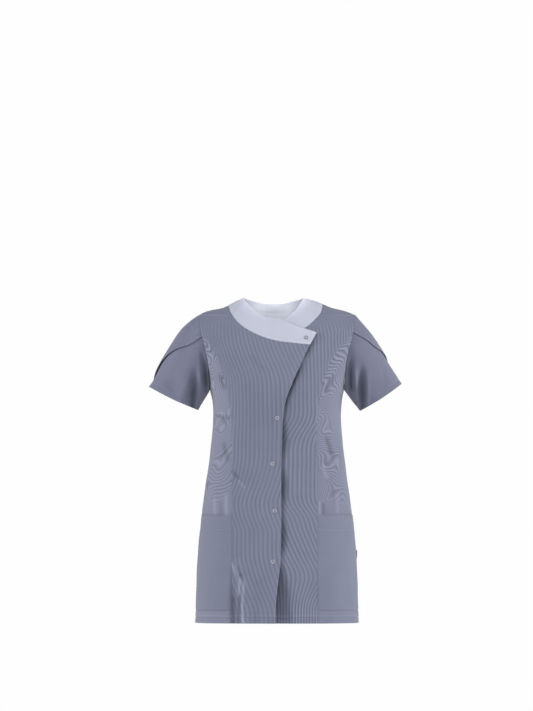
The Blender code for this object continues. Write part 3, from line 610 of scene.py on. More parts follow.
# %% The collar's table and the neck seam
COLLAR = table(
    "PART seam_x seam_z edge_x edge_y edge_z",
    [
        ("tab", 0.0843, -0.1009, 0.1019, -0.0872, -0.0682),
        ("tab", 0.0627, -0.0988, 0.0780, -0.0905, -0.0605),
        ("front", 0.0412, -0.0962, 0.0540, -0.0905, -0.0525),
        ("front", 0.0197, -0.0928, 0.0300, -0.0865, -0.0425),
        ("front", -0.0018, -0.0887, 0.0080, -0.0800, -0.0340),
        ("front", -0.0233, -0.0832, -0.0150, -0.0735, -0.0318),
        ("front", -0.0446, -0.0757, -0.0386, -0.0665, -0.0255),
        ("front", -0.0661, -0.0661, -0.0575, -0.0560, -0.0120),
        ("front", -0.0876, -0.0532, -0.0719, -0.0440, 0.0021),
        ("front", -0.1060, -0.0365, -0.0815, -0.0300, 0.0135),
        ("front", -0.1200, -0.0150, -0.0862, -0.0130, 0.0196),
        ("shoulder", -0.1250, 0.0028, -0.0850, 0.0050, 0.0206),
        ("back", -0.1120, -0.0120, -0.0790, 0.0290, 0.0176),
        ("back", -0.0850, -0.0255, -0.0620, 0.0470, 0.0130),
        ("back", -0.0480, -0.0350, -0.0370, 0.0575, 0.0080),
        ("back", -0.0050, -0.0385, -0.0092, 0.0605, 0.0070),
        ("back", 0.0380, -0.0350, 0.0190, 0.0575, 0.0080),
        ("back", 0.0750, -0.0255, 0.0440, 0.0470, 0.0130),
        ("back", 0.1030, -0.0120, 0.0620, 0.0290, 0.0176),
        ("shoulder", 0.1170, 0.0060, 0.0680, 0.0050, 0.0206),
        ("front", 0.1135, -0.0150, 0.0650, -0.0130, 0.0160),
        ("front", 0.1010, -0.0310, 0.0575, -0.0310, 0.0020),
        ("front", 0.0840, -0.0475, 0.0460, -0.0460, -0.0130),
        ("front", 0.0640, -0.0605, 0.0300, -0.0590, -0.0270),
        ("end", 0.0420, -0.0705, 0.0100, -0.0670, -0.0400),
    ],
)
NECK_RIGHT, NECK_LEFT = np.flatnonzero(COLLAR["part"] == "shoulder").tolist()
COLLAR_END = len(COLLAR) - 1


def collar_curve(column, at):
    """A column of the collar's table, at places counted in its sections."""
    return through(np.arange(len(COLLAR)), COLLAR[column], at)


def neck_seam(at):
    """Points on the body along the collar's seam, at places counted in the collar's sections."""
    x = collar_curve("seam_x", at)
    z = np.minimum(collar_curve("seam_z", at), shoulder_z(x))
    on_back = (at > NECK_RIGHT) & (at < NECK_LEFT)
    return np.where(on_back[:, None], on_body(x, z, False), on_body(x, z, True))


print("collar sections:", len(COLLAR))

# %% [markdown]
# ## Panels as grids
#
# A sewn panel is a piece of cloth with four borders. If we know the four seams, a grid of points can
# be blended between them, and each point is then seated on the body's form. That gives clean rows and
# columns, which follow the cloth's own threads. Rows and columns are what make the next steps easy:
# a stitch line is a row, a stripe is a column, and a hem is the first few rows.

# %% Grids of the fronts
FRONT_COLUMNS = 76
SIDE_COLUMNS = 50
ARMHOLE_STEP = 3


def patch(bottom, top, left, right, across_at):
    """A grid of points between four border lines. Rows run from left to right and climb."""
    u = np.asarray(across_at)[None, :, None]
    v = np.linspace(0, 1, len(left))[:, None, None]
    across = (1 - u) * left[:, None] + u * right[:, None]
    up = (1 - v) * bottom[None] + v * top[None]
    corners = (1 - v) * ((1 - u) * bottom[0] + u * bottom[-1]) + v * ((1 - u) * top[0] + u * top[-1])
    return across + up - corners


def centre_front(side):
    """The grid of a centre front, from the princess seam to its front edge."""
    shares = closer_at_ends(FRONT_COLUMNS)
    neck_at = shares * NECK_RIGHT if side < 0 else NECK_LEFT + shares * (COLLAR_END - NECK_LEFT)
    neck = neck_seam(neck_at)[:: -1 if side < 0 else 1]
    armhole = armhole_line(side, np.arange(PRINCESS_ANGLE - ARMHOLE_STEP, -1, -ARMHOLE_STEP))
    outer = np.concatenate([princess_seam(side), armhole, shoulder_seam(side, neck[0, 0])[1:]])
    outer[-1] = neck[0]
    above = np.linspace(outer[LOW_ROWS - 1, 2], neck[-1, 2], len(outer) - LOW_ROWS + 1)[1:]
    z = np.concatenate([outer[:LOW_ROWS, 2], above])
    inner = on_body(free_edge_x(z) - (0 if side < 0 else OVERLAP_WIDTH), z, True)
    inner[-1] = neck[-1]
    hem = level_arc(outer[0, 0], inner[0, 0], HEM_Z, shares, True)
    return seat(patch(hem, neck, outer, inner, shares))


def side_front(side):
    """The grid of a side panel, from the side seam to the princess seam."""
    shares = closer_at_ends(SIDE_COLUMNS)
    armhole = armhole_line(side, 180 - shares * (180 - PRINCESS_ANGLE))
    outer, inner = side_seam(side), princess_seam(side)
    hem = level_arc(outer[0, 0], inner[0, 0], HEM_Z, shares, True)
    return seat(patch(hem, armhole, outer, inner, shares))


right_grid, left_grid = centre_front(-1), centre_front(1)
print("rows and columns of a centre front:", right_grid.shape[:2])

# %% [markdown]
# The back has no seam in its middle, so its grid reaches from one side seam to the other. Its borders
# climb over the armholes and the shoulders, where they have many more points than the middle of the
# back needs. So the rows above the waist are spaced again, evenly, except close to the borders.

# %% Grid of the back
BACK_COLUMNS = 140
BACKWARDS = 1e-7


def even_rows(grid, first):
    """Spaces the rows from the first on equally in the middle of a grid. Its side borders stay."""
    grid = grid.copy()
    rows, columns = grid[first:].shape[:2]
    for c in range(1, columns - 1):
        share = 1 - (2 * c / (columns - 1) - 1) ** 4
        grid[first:, c] += share * (spread(grid[first:, c], np.linspace(0, 1, rows)) - grid[first:, c])
    return grid


def whole_back():
    """The grid of the back, from its right side to its left. Its borders lie a hair behind the seams."""
    shares = closer_at_ends(BACK_COLUMNS)
    neck = neck_seam(NECK_RIGHT + shares * (NECK_LEFT - NECK_RIGHT))
    borders = []
    for side, end in ((-1, 0), (1, -1)):
        armhole = armhole_line(side, np.arange(-180 + ARMHOLE_STEP, 1, ARMHOLE_STEP))
        border = np.concatenate([side_seam(side), armhole, shoulder_seam(side, neck[end, 0])[1:]])
        border[:, 1] += BACKWARDS
        neck[end] = border[-1]
        borders.append(border)
    hem = level_arc(borders[0][0, 0], borders[1][0, 0], HEM_Z, shares, False)
    grid = even_rows(seat(patch(hem, neck, *borders, shares)), LOW_ROWS - 1)
    return seat(grid)


back_grid = whole_back()
print("rows and columns of the back:", back_grid.shape[:2])

# %% [markdown]
# ## From grid to cloth
#
# A sewn seam pulls the two cloths down into a small valley with faint puckers along it, and a hem is
# a doubled edge with a stitch line that bites in. Both are a matter of tenths of a millimetre, but they
# are what the eye reads as sewing. `drape` adds them with the folds, along the form's own outward
# direction. It needs to know how far each point lies from each border, and measures that in the grid.

# %% Distances in a grid
def along(grid, axis):
    """How far each point lies along its row or column from the grid's first border."""
    steps = np.linalg.norm(np.diff(grid, axis=axis), axis=-1)
    start = np.zeros_like(np.take(steps, [0], axis=axis))
    return np.concatenate([start, np.cumsum(steps, axis=axis)], axis=axis)


def border_distance(grid, border):
    """How far each point of a grid lies from one of its borders."""
    far = along(grid, 0 if border in ("bottom", "top") else 1)
    if border in ("left", "bottom"):
        return far
    return (far[-1:] if border == "top" else far[:, -1:]) - far


print("the back's hem is", round(along(back_grid, 1)[0, -1], 3), "m long")

# %% Seam valleys and hems
SEAM_BITE = 0.0007
SEAM_REACH = 0.0030
PUCKER = 0.35
PUCKER_REACH = 2.5 * SEAM_REACH
PUCKER_PITCH = 0.0125
PUCKER_WANDERS = 2.1
PUCKER_WANDERS_OVER = 0.037
HEM_STITCH = HEM_ROW * HEM_STITCH_ROW
HEM_BITE = 0.0008
HEM_BITE_REACH = 0.0018
HEM_RIPPLE = 0.0006
HEM_RIPPLE_LENGTHS = (0.021, 0.013)
HEM_RIPPLE_REACH = 0.03
# Painted highlight just above the hem's stitches and painted shade along them, as shares of the colour.
HEM_PAINTED_HIGHLIGHT = 0.13
HEM_HIGHLIGHT_ABOVE = 0.0042
HEM_SHADE = 0.12


def seam_valley(grid, seams):
    """The valleys along sewn borders, with uneven puckers that die away from the seam."""
    sink = np.zeros(grid.shape[:-1])
    for border in seams:
        far = border_distance(grid, border)
        run = along(grid, 1 if border in ("bottom", "top") else 0)
        pucker = np.sin(TURN * run / PUCKER_PITCH + PUCKER_WANDERS * np.sin(run / PUCKER_WANDERS_OVER))
        sink += SEAM_BITE * hump(far, SEAM_REACH)
        sink += SEAM_BITE * PUCKER * pucker * hump(far, PUCKER_REACH)
    return sink


def stitched_in(far, line, bite=HEM_BITE, reach=HEM_BITE_REACH):
    """The valley that a line of stitches presses into the cloth, so far from a border."""
    return bite * hump(far - line, reach)


def hem_form(grid):
    """The hem's slight ripple and its stitch line, which bites in."""
    run, far = along(grid, 1), border_distance(grid, "bottom")
    long, short = HEM_RIPPLE_LENGTHS
    ripple = np.sin(run / long + np.sin(run / short)) * hump(far, HEM_RIPPLE_REACH)
    return HEM_RIPPLE * ripple - stitched_in(far, HEM_STITCH)


def hem_tone(grid):
    """Painted shade along the hem's stitches and a painted highlight just above them."""
    far = border_distance(grid, "bottom") - HEM_STITCH
    return HEM_PAINTED_HIGHLIGHT * hump(far - HEM_HIGHLIGHT_ABOVE, HEM_BITE_REACH) - HEM_SHADE * hump(far, HEM_BITE_REACH)


def drape(grid, seams, lift=0.0, hem=True):
    """A panel's outer points and their outward directions."""
    normal = body_normal(grid)
    height = fold_height(grid) + unevenness(grid) + lift - seam_valley(grid, seams)
    if hem:
        height = height + hem_form(grid)
    return grid + normal * height[..., None], normal


print("the hem is stitched", round(1000 * HEM_STITCH, 1), "mm above its edge")

# %% [markdown]
# ## A thin shell with threads
#
# Solidify could thicken a single surface, but then the edge is a sharp ledge. A folded edge is round.
# So `shell` builds the outside, the inside and one ring of points that bulges between them. It also
# writes three UV maps. The first, "cloth", counts metres across and along the threads, and the weave
# and the pinstripe read it. The second, "bands", is for the broad soft stripes that a fine pinstripe
# shows from a distance: its first number is the place across the bands, and its second is how
# strongly they show there. The third, "tone", holds painted light and shade: how much lighter or
# darker the cloth is painted there, on the creases, along the hems, beside the free edge and in the
# neck facing.

# %% Objects and their maps
def add(name, data, place=(0.0, 0.0, 0.0)):
    """Puts a mesh, a light or a camera into the scene, or an empty where data is None."""
    made = bpy.data.objects.new(name, data)
    made.location = place
    bpy.context.scene.collection.objects.link(made)
    return made


def new_object(name, points, faces, *materials):
    """A smooth mesh from points and faces, with its materials."""
    mesh = bpy.data.meshes.new(name)
    mesh.from_pydata(np.asarray(points).tolist(), [], [list(map(int, face)) for face in faces])
    mesh.shade_smooth()
    for material in materials:
        mesh.materials.append(material)
    return add(name, mesh)


def write_uv(obj, name, per_point):
    """A UV map from one pair of numbers for each point."""
    layer = obj.data.uv_layers.new(name=name)
    at = np.empty(len(obj.data.loops), np.int32)
    obj.data.loops.foreach_get("vertex_index", at)
    layer.data.foreach_set("uv", np.asarray(per_point, np.float32)[at].ravel())


# %% Shell maker
RIM_BULGE = 0.4
SHARP = math.radians(50)
NOT_QUITE_ZERO = 1e-9


def shell(name, outer, normal, thickness, threads, bands, tone, material):
    """A closed shell of cloth with a round edge, and its three maps. tone is a grid or one number."""
    rows, columns = outer.shape[:2]
    count = rows * columns
    at = np.arange(count).reshape(rows, columns)
    rim = np.concatenate([at[0, :-1], at[:-1, -1], at[-1, :0:-1], at[:0:-1, 0]])
    beside = np.concatenate([at[1, :-1], at[:-1, -2], at[-2, :0:-1], at[:0:-1, 1]])
    outside_points = outer.reshape(-1, 3)
    inside_points = (outer - normal * thickness).reshape(-1, 3)
    outwards = unit(outside_points[rim] - outside_points[beside] + NOT_QUITE_ZERO)
    ring = (outside_points[rim] + inside_points[rim]) / 2 + outwards * thickness * RIM_BULGE
    quads = np.stack([at[:-1, :-1], at[:-1, 1:], at[1:, 1:], at[1:, :-1]], -1).reshape(-1, 4)
    ring_at = 2 * count + np.arange(len(rim))
    next_rim, next_ring = np.roll(rim, -1), np.roll(ring_at, -1)
    to_ring = np.stack([rim, ring_at, next_ring, next_rim], -1)
    to_inside = np.stack([ring_at, rim + count, next_rim + count, next_ring], -1)
    faces = np.concatenate([quads, quads[:, ::-1] + count, to_ring, to_inside])
    if np.cross(outer[0, 1] - outer[0, 0], outer[1, 0] - outer[0, 0]) @ normal[0, 0] < 0:
        faces = faces[:, ::-1]
    made = new_object(name, np.concatenate([outside_points, inside_points, ring]), faces, material)
    made.data.set_sharp_from_angle(angle=SHARP)
    tone = np.broadcast_to(tone, (rows, columns))
    for label, grid in (("cloth", threads), ("bands", bands), ("tone", np.stack([tone, tone], -1))):
        pairs = grid.reshape(-1, 2)
        write_uv(made, label, np.concatenate([pairs, pairs, pairs[rim]]))
    return made


print("an edge bulges", round(1000 * CLOTH * RIM_BULGE, 1), "mm beyond the cloth's middle")

# %% [markdown]
# ## Cloth materials
#
# The real cloth is a poly-cotton with a fine pinstripe, about two millimetres from line to line. From
# a few metres away the lines melt into a grey blue, and soft wavy bands a centimetre apart appear
# where the lines beat against each other. The material has both: the true pinstripe for a close look,
# and the bands that are seen from a distance. A woven bump, a little mottling and some sheen keep it
# matt and soft. Everything is made by nodes that read the shell's UV maps. An image could hold the
# stripes too, but nodes stay sharp however close we look.

# %% Node helpers
def node(tree, kind, sockets=(), **settings):
    """A node with its settings, and with fixed values on some of its sockets."""
    made = tree.nodes.new(kind)
    for key, value in settings.items():
        setattr(made, key, value)
    set_sockets(made, sockets)
    return made


def set_sockets(made, sockets):
    """Puts fixed values on the sockets of a node."""
    for key, value in dict(sockets).items():
        made.inputs[key].default_value = value


def maths(tree, operation, *inputs):
    """A Math node. Each input is a socket or a number."""
    made = node(tree, "ShaderNodeMath", operation=operation)
    for socket, value in zip(made.inputs, inputs):
        if isinstance(value, (int, float)):
            socket.default_value = value
        else:
            tree.links.new(value, socket)
    return made.outputs[0]


def plus(tree, first, second):
    """The sum of two sockets or numbers."""
    return maths(tree, "ADD", first, second)


def times(tree, first, second):
    """The product of two sockets or numbers."""
    return maths(tree, "MULTIPLY", first, second)


def uv_parts(tree, name):
    """The two numbers of a UV map."""
    split = node(tree, "ShaderNodeSeparateXYZ")
    tree.links.new(node(tree, "ShaderNodeUVMap", uv_map=name).outputs["UV"], split.inputs[0])
    return split.outputs["X"], split.outputs["Y"]


def wave_of(tree, place, pitch):
    """A sine wave that repeats at every pitch."""
    return maths(tree, "SINE", times(tree, place, TURN / pitch))


def noise(tree, scale, detail=3.0, roughness=0.55):
    """Soft noise around 0, with so many spots to the metre."""
    made = node(tree, "ShaderNodeTexNoise", {"Scale": scale, "Detail": detail, "Roughness": roughness})
    tree.links.new(node(tree, "ShaderNodeTexCoord").outputs["Object"], made.inputs["Vector"])
    return maths(tree, "SUBTRACT", made.outputs["Fac"], 0.5)


def new_material(name, roughness):
    """A new material with its node tree and its shader."""
    material = bpy.data.materials.new(name)
    material.use_nodes = True
    shader = material.node_tree.nodes["Principled BSDF"]
    set_sockets(shader, {"Roughness": roughness})
    return material, material.node_tree, shader


def tint(tree, shader, colour, shade):
    """Gives a shader its colour, which a shade around 1 lightens and darkens."""
    made = node(tree, "ShaderNodeVectorMath", {0: colour}, operation="SCALE")
    tree.links.new(shade, made.inputs["Scale"])
    tree.links.new(made.outputs[0], shader.inputs["Base Color"])


print("materials before the first cloth:", len(bpy.data.materials))

# %% Woven cloth
PINSTRIPE_PITCH = 0.0021
BAND_PITCH = 0.0116
BAND_CRISPNESS = 0.30
BAND_PATCHES = 1.4
BAND_PATCHES_A_METRE = 17.0
MOTTLES_A_METRE = 26.0
FINE_MOTTLES_A_METRE = 420.0
FINE_MOTTLE = 0.8
THREAD_PITCH = 0.00062
THREAD_FUZZ_A_METRE = 900.0
THREAD_HEIGHT = 0.00012
CLOTH_ROUGHNESS = 0.86
CLOTH_SHINE = 0.25
SHEEN_ROUGHNESS = 0.5


def band_shade(tree, strength):
    """The soft bands: waves with crisper tops, stronger in some patches than in others."""
    place, shown = uv_parts(tree, "bands")
    crisp = times(tree, wave_of(tree, place, BAND_PITCH / 2), BAND_CRISPNESS)
    profile = plus(tree, wave_of(tree, place, BAND_PITCH), crisp)
    patchy = plus(tree, 1.0, times(tree, noise(tree, BAND_PATCHES_A_METRE), BAND_PATCHES))
    return times(tree, times(tree, times(tree, profile, shown), patchy), strength)


def weave_bump(tree, across, up, strength):
    """The bump of the crossing threads, with a little fuzz."""
    crossing = times(tree, wave_of(tree, across, THREAD_PITCH), wave_of(tree, up, THREAD_PITCH))
    bump = node(tree, "ShaderNodeBump", {"Strength": strength, "Distance": THREAD_HEIGHT})
    tree.links.new(plus(tree, crossing, noise(tree, THREAD_FUZZ_A_METRE, 1.0)), bump.inputs["Height"])
    return bump.outputs[0]


def cloth_material(name, colour, pinstripe=0.16, bands=0.085, mottle=0.10, weave=0.25, sheen=0.25):
    """A woven cloth. pinstripe, bands and mottle are how much they lighten and darken the colour."""
    material, tree, shader = new_material(name, CLOTH_ROUGHNESS)
    across, up = uv_parts(tree, "cloth")
    shade = plus(tree, 1.0, times(tree, noise(tree, MOTTLES_A_METRE), mottle))
    shade = plus(tree, shade, times(tree, noise(tree, FINE_MOTTLES_A_METRE, 2.0), mottle * FINE_MOTTLE))
    if pinstripe:
        shade = plus(tree, shade, times(tree, wave_of(tree, across, PINSTRIPE_PITCH), pinstripe))
    if bands:
        shade = plus(tree, shade, band_shade(tree, bands))
    # The tone map is painted light and shade, which lightens and darkens the colour.
    painted_light_and_shade, _ = uv_parts(tree, "tone")
    tint(tree, shader, colour, times(tree, shade, plus(tree, 1.0, painted_light_and_shade)))
    tree.links.new(weave_bump(tree, across, up, weave), shader.inputs["Normal"])
    set_sockets(shader, {"Specular IOR Level": CLOTH_SHINE, "Sheen Weight": sheen})
    set_sockets(shader, {"Sheen Roughness": SHEEN_ROUGHNESS})
    return material


print("five pinstripes span", round(1000 * 5 * PINSTRIPE_PITCH, 1), "mm")

# %% The tunic's cloths
FRONT_COLOUR = (0.162, 0.176, 0.240)
COLLAR_COLOUR = (0.478, 0.490, 0.566)
WHITE = {"pinstripe": 0, "bands": 0, "mottle": 0.03, "sheen": 0.15}
PLAIN = {"pinstripe": 0.10, "bands": 0}
cloths = {
    "front_cloth": cloth_material("front_cloth", FRONT_COLOUR, bands=0.115),
    # Painted light: the side panels are the fronts' cloth painted lighter, the right one more than the left,
    # for the light that falls on the sides.
    "side_cloth_right": cloth_material("side_cloth_right", (0.196, 0.205, 0.272), bands=0.16),
    "side_cloth_left": cloth_material("side_cloth_left", (0.180, 0.191, 0.259), bands=0.16),
    "back_cloth": cloth_material("back_cloth", (0.166, 0.179, 0.243), bands=0.10),
    "pocket_cloth": cloth_material("pocket_cloth", (0.175, 0.187, 0.250), **PLAIN),
    "sleeve_cloth": cloth_material("sleeve_cloth", (0.160, 0.170, 0.234), **PLAIN),
    "petal_cloth": cloth_material("petal_cloth", (0.166, 0.175, 0.238), bands=0.04),
    "collar_cloth": cloth_material("collar_cloth", COLLAR_COLOUR, **WHITE),
    # Painted light: the facing is the collar's white cloth painted lighter, for light inside the neck.
    "facing_cloth": cloth_material("facing_cloth", (0.560, 0.570, 0.640), **WHITE),
}
print("cloth materials:", len(cloths))

# %% [markdown]
# ## Where the bands run
#
# On the two centre fronts the bands are nearly upright but drift to one side and back as they go
# down. A short table gives that drift for each front. On the side panels the cloth lies at a slant to
# the view and the bands break into swirls. There the place across the bands is bent by a few crossing
# waves, so that the lines close into loops and chevrons, each one different.

# %% Bands on the fronts
DRIFT = table(
    "z right left",
    [
        (HEM_Z, 0.039, 0.052),
        (-0.790, 0.037, 0.052),
        (-0.728, 0.014, 0.051),
        (-0.687, 0.000, 0.048),
        (-0.650, -0.009, 0.030),
        (-0.610, -0.010, 0.012),
        (-0.581, -0.010, 0.000),
        (-0.545, -0.024, -0.012),
        (-0.510, -0.030, -0.034),
        (-0.460, -0.014, -0.038),
        (-0.412, 0.000, -0.037),
        (-0.345, 0.003, -0.032),
        (-0.290, 0.003, -0.002),
        (-0.240, 0.002, 0.000),
        (-0.190, 0.000, 0.000),
        (-0.110, -0.031, -0.004),
        (-0.060, -0.046, -0.006),
        (0.020, -0.070, -0.010),
    ],
)
BANDS_FADE = 0.85
BANDS_FADE_Z = (-0.075, -0.030)
DRAWN_TOGETHER_Z = (-0.790, -0.700)
DRAWN_TO_X = 0.020


def upright_threads(grid, reference):
    """Places across and along the cloth. A row is measured from where it crosses x = reference."""
    far = along(grid, 1)
    across = np.empty_like(far)
    for r, row in enumerate(grid):
        sign = 1 if row[-1, 0] > row[0, 0] else -1
        crossing = np.interp(reference, row[::sign, 0], far[r, ::sign])
        across[r] = reference + sign * (far[r] - crossing)
    return np.stack([across, grid[..., 2]], -1)


def drifting_bands(threads, name, strength=1.0, at_hem=0.0):
    """Bands that follow the upright threads and drift as the table says. at_hem draws them together."""
    across, up = threads[..., 0], threads[..., 1]
    fade = 1 - BANDS_FADE * ease(up, *BANDS_FADE_Z)
    drawn = at_hem * (1 - ease(up, *DRAWN_TOGETHER_Z))
    place = DRAWN_TO_X + (across - DRAWN_TO_X) * (1 + drawn) - read(DRIFT, name, up)
    return np.stack([place, strength * fade * (1 + drawn)], -1)


print("the bands drift", round(1000 * np.ptp(DRIFT["right"])), "mm sideways on the right front")

# %% Swirls on the side panels
SWIRL_COUNT = 5
SWIRL_LENGTHS = (0.06, 0.12)
SWIRL_BEND = 0.0085
SWIRL_CLOSER = 1.25
SWIRLS = random_waves(SWIRL_COUNT, (1.0, 1.0), SWIRL_LENGTHS)


def swirling_bands(threads, slant, strength):
    """Bands at a slant in degrees that are bent into swirls."""
    slant = math.radians(slant)
    place = threads[..., 0] * math.cos(slant) + threads[..., 1] * math.sin(slant)
    place = place + SWIRL_BEND * sum_of(SWIRLS, threads)
    return np.stack([SWIRL_CLOSER * place, np.broadcast_to(strength, place.shape)], -1)


print("the swirls bend a band", round(1000 * SWIRL_COUNT * SWIRL_BEND, 1), "mm at most")

# %% [markdown]
# ## The body's panels
#
# Now the five panels of the body. The wearer's right front laps over the left one, so it is lifted by a
# cloth's thickness there, and its free edge stands off a little more between the snaps, most of all
# below the last one. Each panel replaces its plain solid and rides with the body. One table says that
# for every piece of cloth, so that a piece is sewn by its name.

# %% The pieces of cloth
PIECES = table(
    "PIECE STANDS_FOR SLOT CLOTH width length area",
    [
        ("front_right", "front_right", "stripe_cloth", "front_cloth", 0.245, 0.865, 0.1200),
        ("front_left", "front_left", "stripe_cloth", "front_cloth", 0.235, 0.865, 0.1130),
        ("side_right", "side_front_right", "stripe_cloth", "side_cloth_right", 0.170, 0.760, 0.0920),
        ("side_left", "side_front_left", "stripe_cloth", "side_cloth_left", 0.185, 0.760, 0.1030),
        ("back", "back", "stripe_cloth", "back_cloth", 0.560, 0.875, 0.4080),
        ("petal_under_right", "sleeve_under_right", "plain_cloth", "sleeve_cloth", 0.300, 0.170, 0.0429),
        ("petal_over_right", "sleeve_over_right", "stripe_cloth", "petal_cloth", 0.290, 0.160, 0.0384),
        ("petal_under_left", "sleeve_under_left", "plain_cloth", "sleeve_cloth", 0.300, 0.170, 0.0399),
        ("petal_over_left", "sleeve_over_left", "stripe_cloth", "petal_cloth", 0.290, 0.160, 0.0332),
        ("collar", "collar", "collar_cloth", "collar_cloth", 0.620, 0.050, 0.0300),
        ("neck_facing", "", "collar_cloth", "facing_cloth", 0.270, 0.052, 0.0130),
        ("pocket_right", "pocket_right", "plain_cloth", "pocket_cloth", 0.160, 0.247, 0.0380),
        ("pocket_left", "pocket_left", "plain_cloth", "pocket_cloth", 0.172, 0.247, 0.0410),
    ],
)
sewn = {}


def put_on(piece, stands_for=""):
    """Lets a piece ride with the body, and stand for its plain solid where it has one."""
    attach(piece, "root")
    if stands_for:
        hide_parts(stands_for)


def sew(name, points, normal, threads, bands=None, tone=0.0, thickness=CLOTH):
    row = PIECES[PIECES["piece"] == name][0]
    bands = np.zeros_like(threads) if bands is None else bands
    piece = shell(f"tunic_{name}", points, normal, thickness, threads, bands, tone, cloths[row["cloth"]])
    put_on(piece, str(row["stands_for"]))
    sewn[name] = (piece, points, normal)
    triangles = sum(len(face.vertices) - 2 for face in piece.data.polygons)
    area = sum(face.area for face in piece.data.polygons) / 2
    print(f"{piece.name}: {triangles} triangles, {area:.4f} m2 a side")


print("pieces of cloth to sew:", len(PIECES))

# %% The two fronts
THREADS_FROM = {"right": -0.06, "left": 0.07, "back": 0.0}
LEFT_BANDS = 1.35
LEFT_BANDS_AT_HEM = 0.55


def sew_panel(name, grid, seams, threads, bands, lift=0.0, tone=0.0):
    """Drapes a panel of the body and sews it in."""
    points, normal = drape(grid, seams, lift)
    sew(name, points, normal, threads, bands, crease_tone(grid) + hem_tone(grid) + tone)


threads = upright_threads(right_grid, THREADS_FROM["right"])
bands = drifting_bands(threads, "right")
sew_panel("front_right", right_grid, ["left", "top"], threads, bands, overlap_lift(right_grid))

threads = upright_threads(left_grid, THREADS_FROM["left"])
bands = drifting_bands(threads, "left", LEFT_BANDS, LEFT_BANDS_AT_HEM)
# The underlap's tone is a painted shadow beside the overlap's free edge.
hollow, shade = underlap_hollow(left_grid, "depth"), underlap_hollow(left_grid, "tone")
sew_panel("front_left", left_grid, ["left", "top"], threads, bands, -hollow, shade)

# %% [markdown]
# A side panel carries a pocket. Along the princess seam it sinks by the pocket's thickness, so that the
# pocket's cloth ends level with the front, and below the pocket its hem stands out as far as the pocket
# does. The swirls are strongest beside the armhole and die away above the pocket's mouth.

# %% Side panels and back
SIDES = {"right": -1, "left": 1}
BED_DEPTH = 0.0012
BED_REACH = 0.0045
BED_BELOW = 0.004
BED_ABOVE = 0.006
HEM_RAISED_OVER = (0.001, 0.005)
HEM_RAISE_FADES = 0.015
POCKET_TOP_Z = -0.542
POCKET_BOTTOM_Z = -0.787
SIDE_SLANTS = {"right": -62, "left": 58}
SIDE_BANDS = 1.05
BESIDE_ARMHOLE = 0.8
BESIDE_ARMHOLE_Z = (-0.28, -0.16)
ABOVE_POCKET = 0.95
ABOVE_POCKET_Z = (-0.475, -0.53)
BACK_BANDS = 0.9


def pocket_bed(grid):
    """How far a side panel stands out where a pocket is sewn on it. Below 0, it sinks."""
    z = grid[..., 2]
    seam = hump(border_distance(grid, "right"), BED_REACH)
    from_side = border_distance(grid, "left")
    beside = ease(z, POCKET_BOTTOM_Z - BED_BELOW, POCKET_BOTTOM_Z)
    beside = beside * (1 - ease(z, POCKET_TOP_Z, POCKET_TOP_Z + BED_ABOVE))
    below = ease(POCKET_BOTTOM_Z - z, *HEM_RAISED_OVER)
    return BED_DEPTH * (below * ease(from_side, 0.0, HEM_RAISE_FADES) * (1 - seam) - beside * seam)


def swirl_strength(z):
    """How strongly the swirls show at a height."""
    more, less = ease(z, *BESIDE_ARMHOLE_Z), ease(z, *ABOVE_POCKET_Z)
    return SIDE_BANDS + BESIDE_ARMHOLE * more - ABOVE_POCKET * less


for name, side in SIDES.items():
    grid = side_front(side)
    seam_x = side * float(read(PRINCESS, name, CHEST_Z))
    threads = np.stack([seam_x + side * border_distance(grid, "right"), grid[..., 2]], -1)
    bands = swirling_bands(threads, SIDE_SLANTS[name], swirl_strength(grid[..., 2]))
    sew_panel(f"side_{name}", grid, ["left", "right", "top"], threads, bands, pocket_bed(grid))

threads = upright_threads(back_grid, THREADS_FROM["back"])
bands = drifting_bands(threads, "right", BACK_BANDS)
sew_panel("back", back_grid, ["left", "right", "top"], threads, bands)

# %% [markdown]
# ## Petal sleeves
#
# Each short sleeve is two petals that lap over each other on the arm, with no seam where they cross. The
# upper petal covers the cap of the shoulder and its free edge slants across the arm. The lower one
# passes under it. The form is a tube from the armhole's oval to the hem's oval, fuller in the middle
# and lifted over the cap. Deep folds run down beside the armhole, where the arm would hang.

# %% The sleeve's form
SLEEVES = {
    "right": {"outer": (0.3322, -0.2085), "inner": (0.2046, -0.2695), "cap": 0.098},
    "left": {"outer": (0.3232, -0.2012), "inner": (0.2152, -0.2718), "cap": 0.034},
}
SLEEVE_FULLNESS = 0.009
SLEEVE_HEM_DIP = 0.003
SLEEVE_HALF_DEPTH = 0.052
ANGLE_STEP = 0.5
ALONG_STEP = 0.01


def armhole_at(name, angle):
    """Points on the armhole's edge where a sleeve is sewn in, at any degrees round the arm."""
    return armhole_line(SIDES[name], (angle + 180) % 360 - 180)


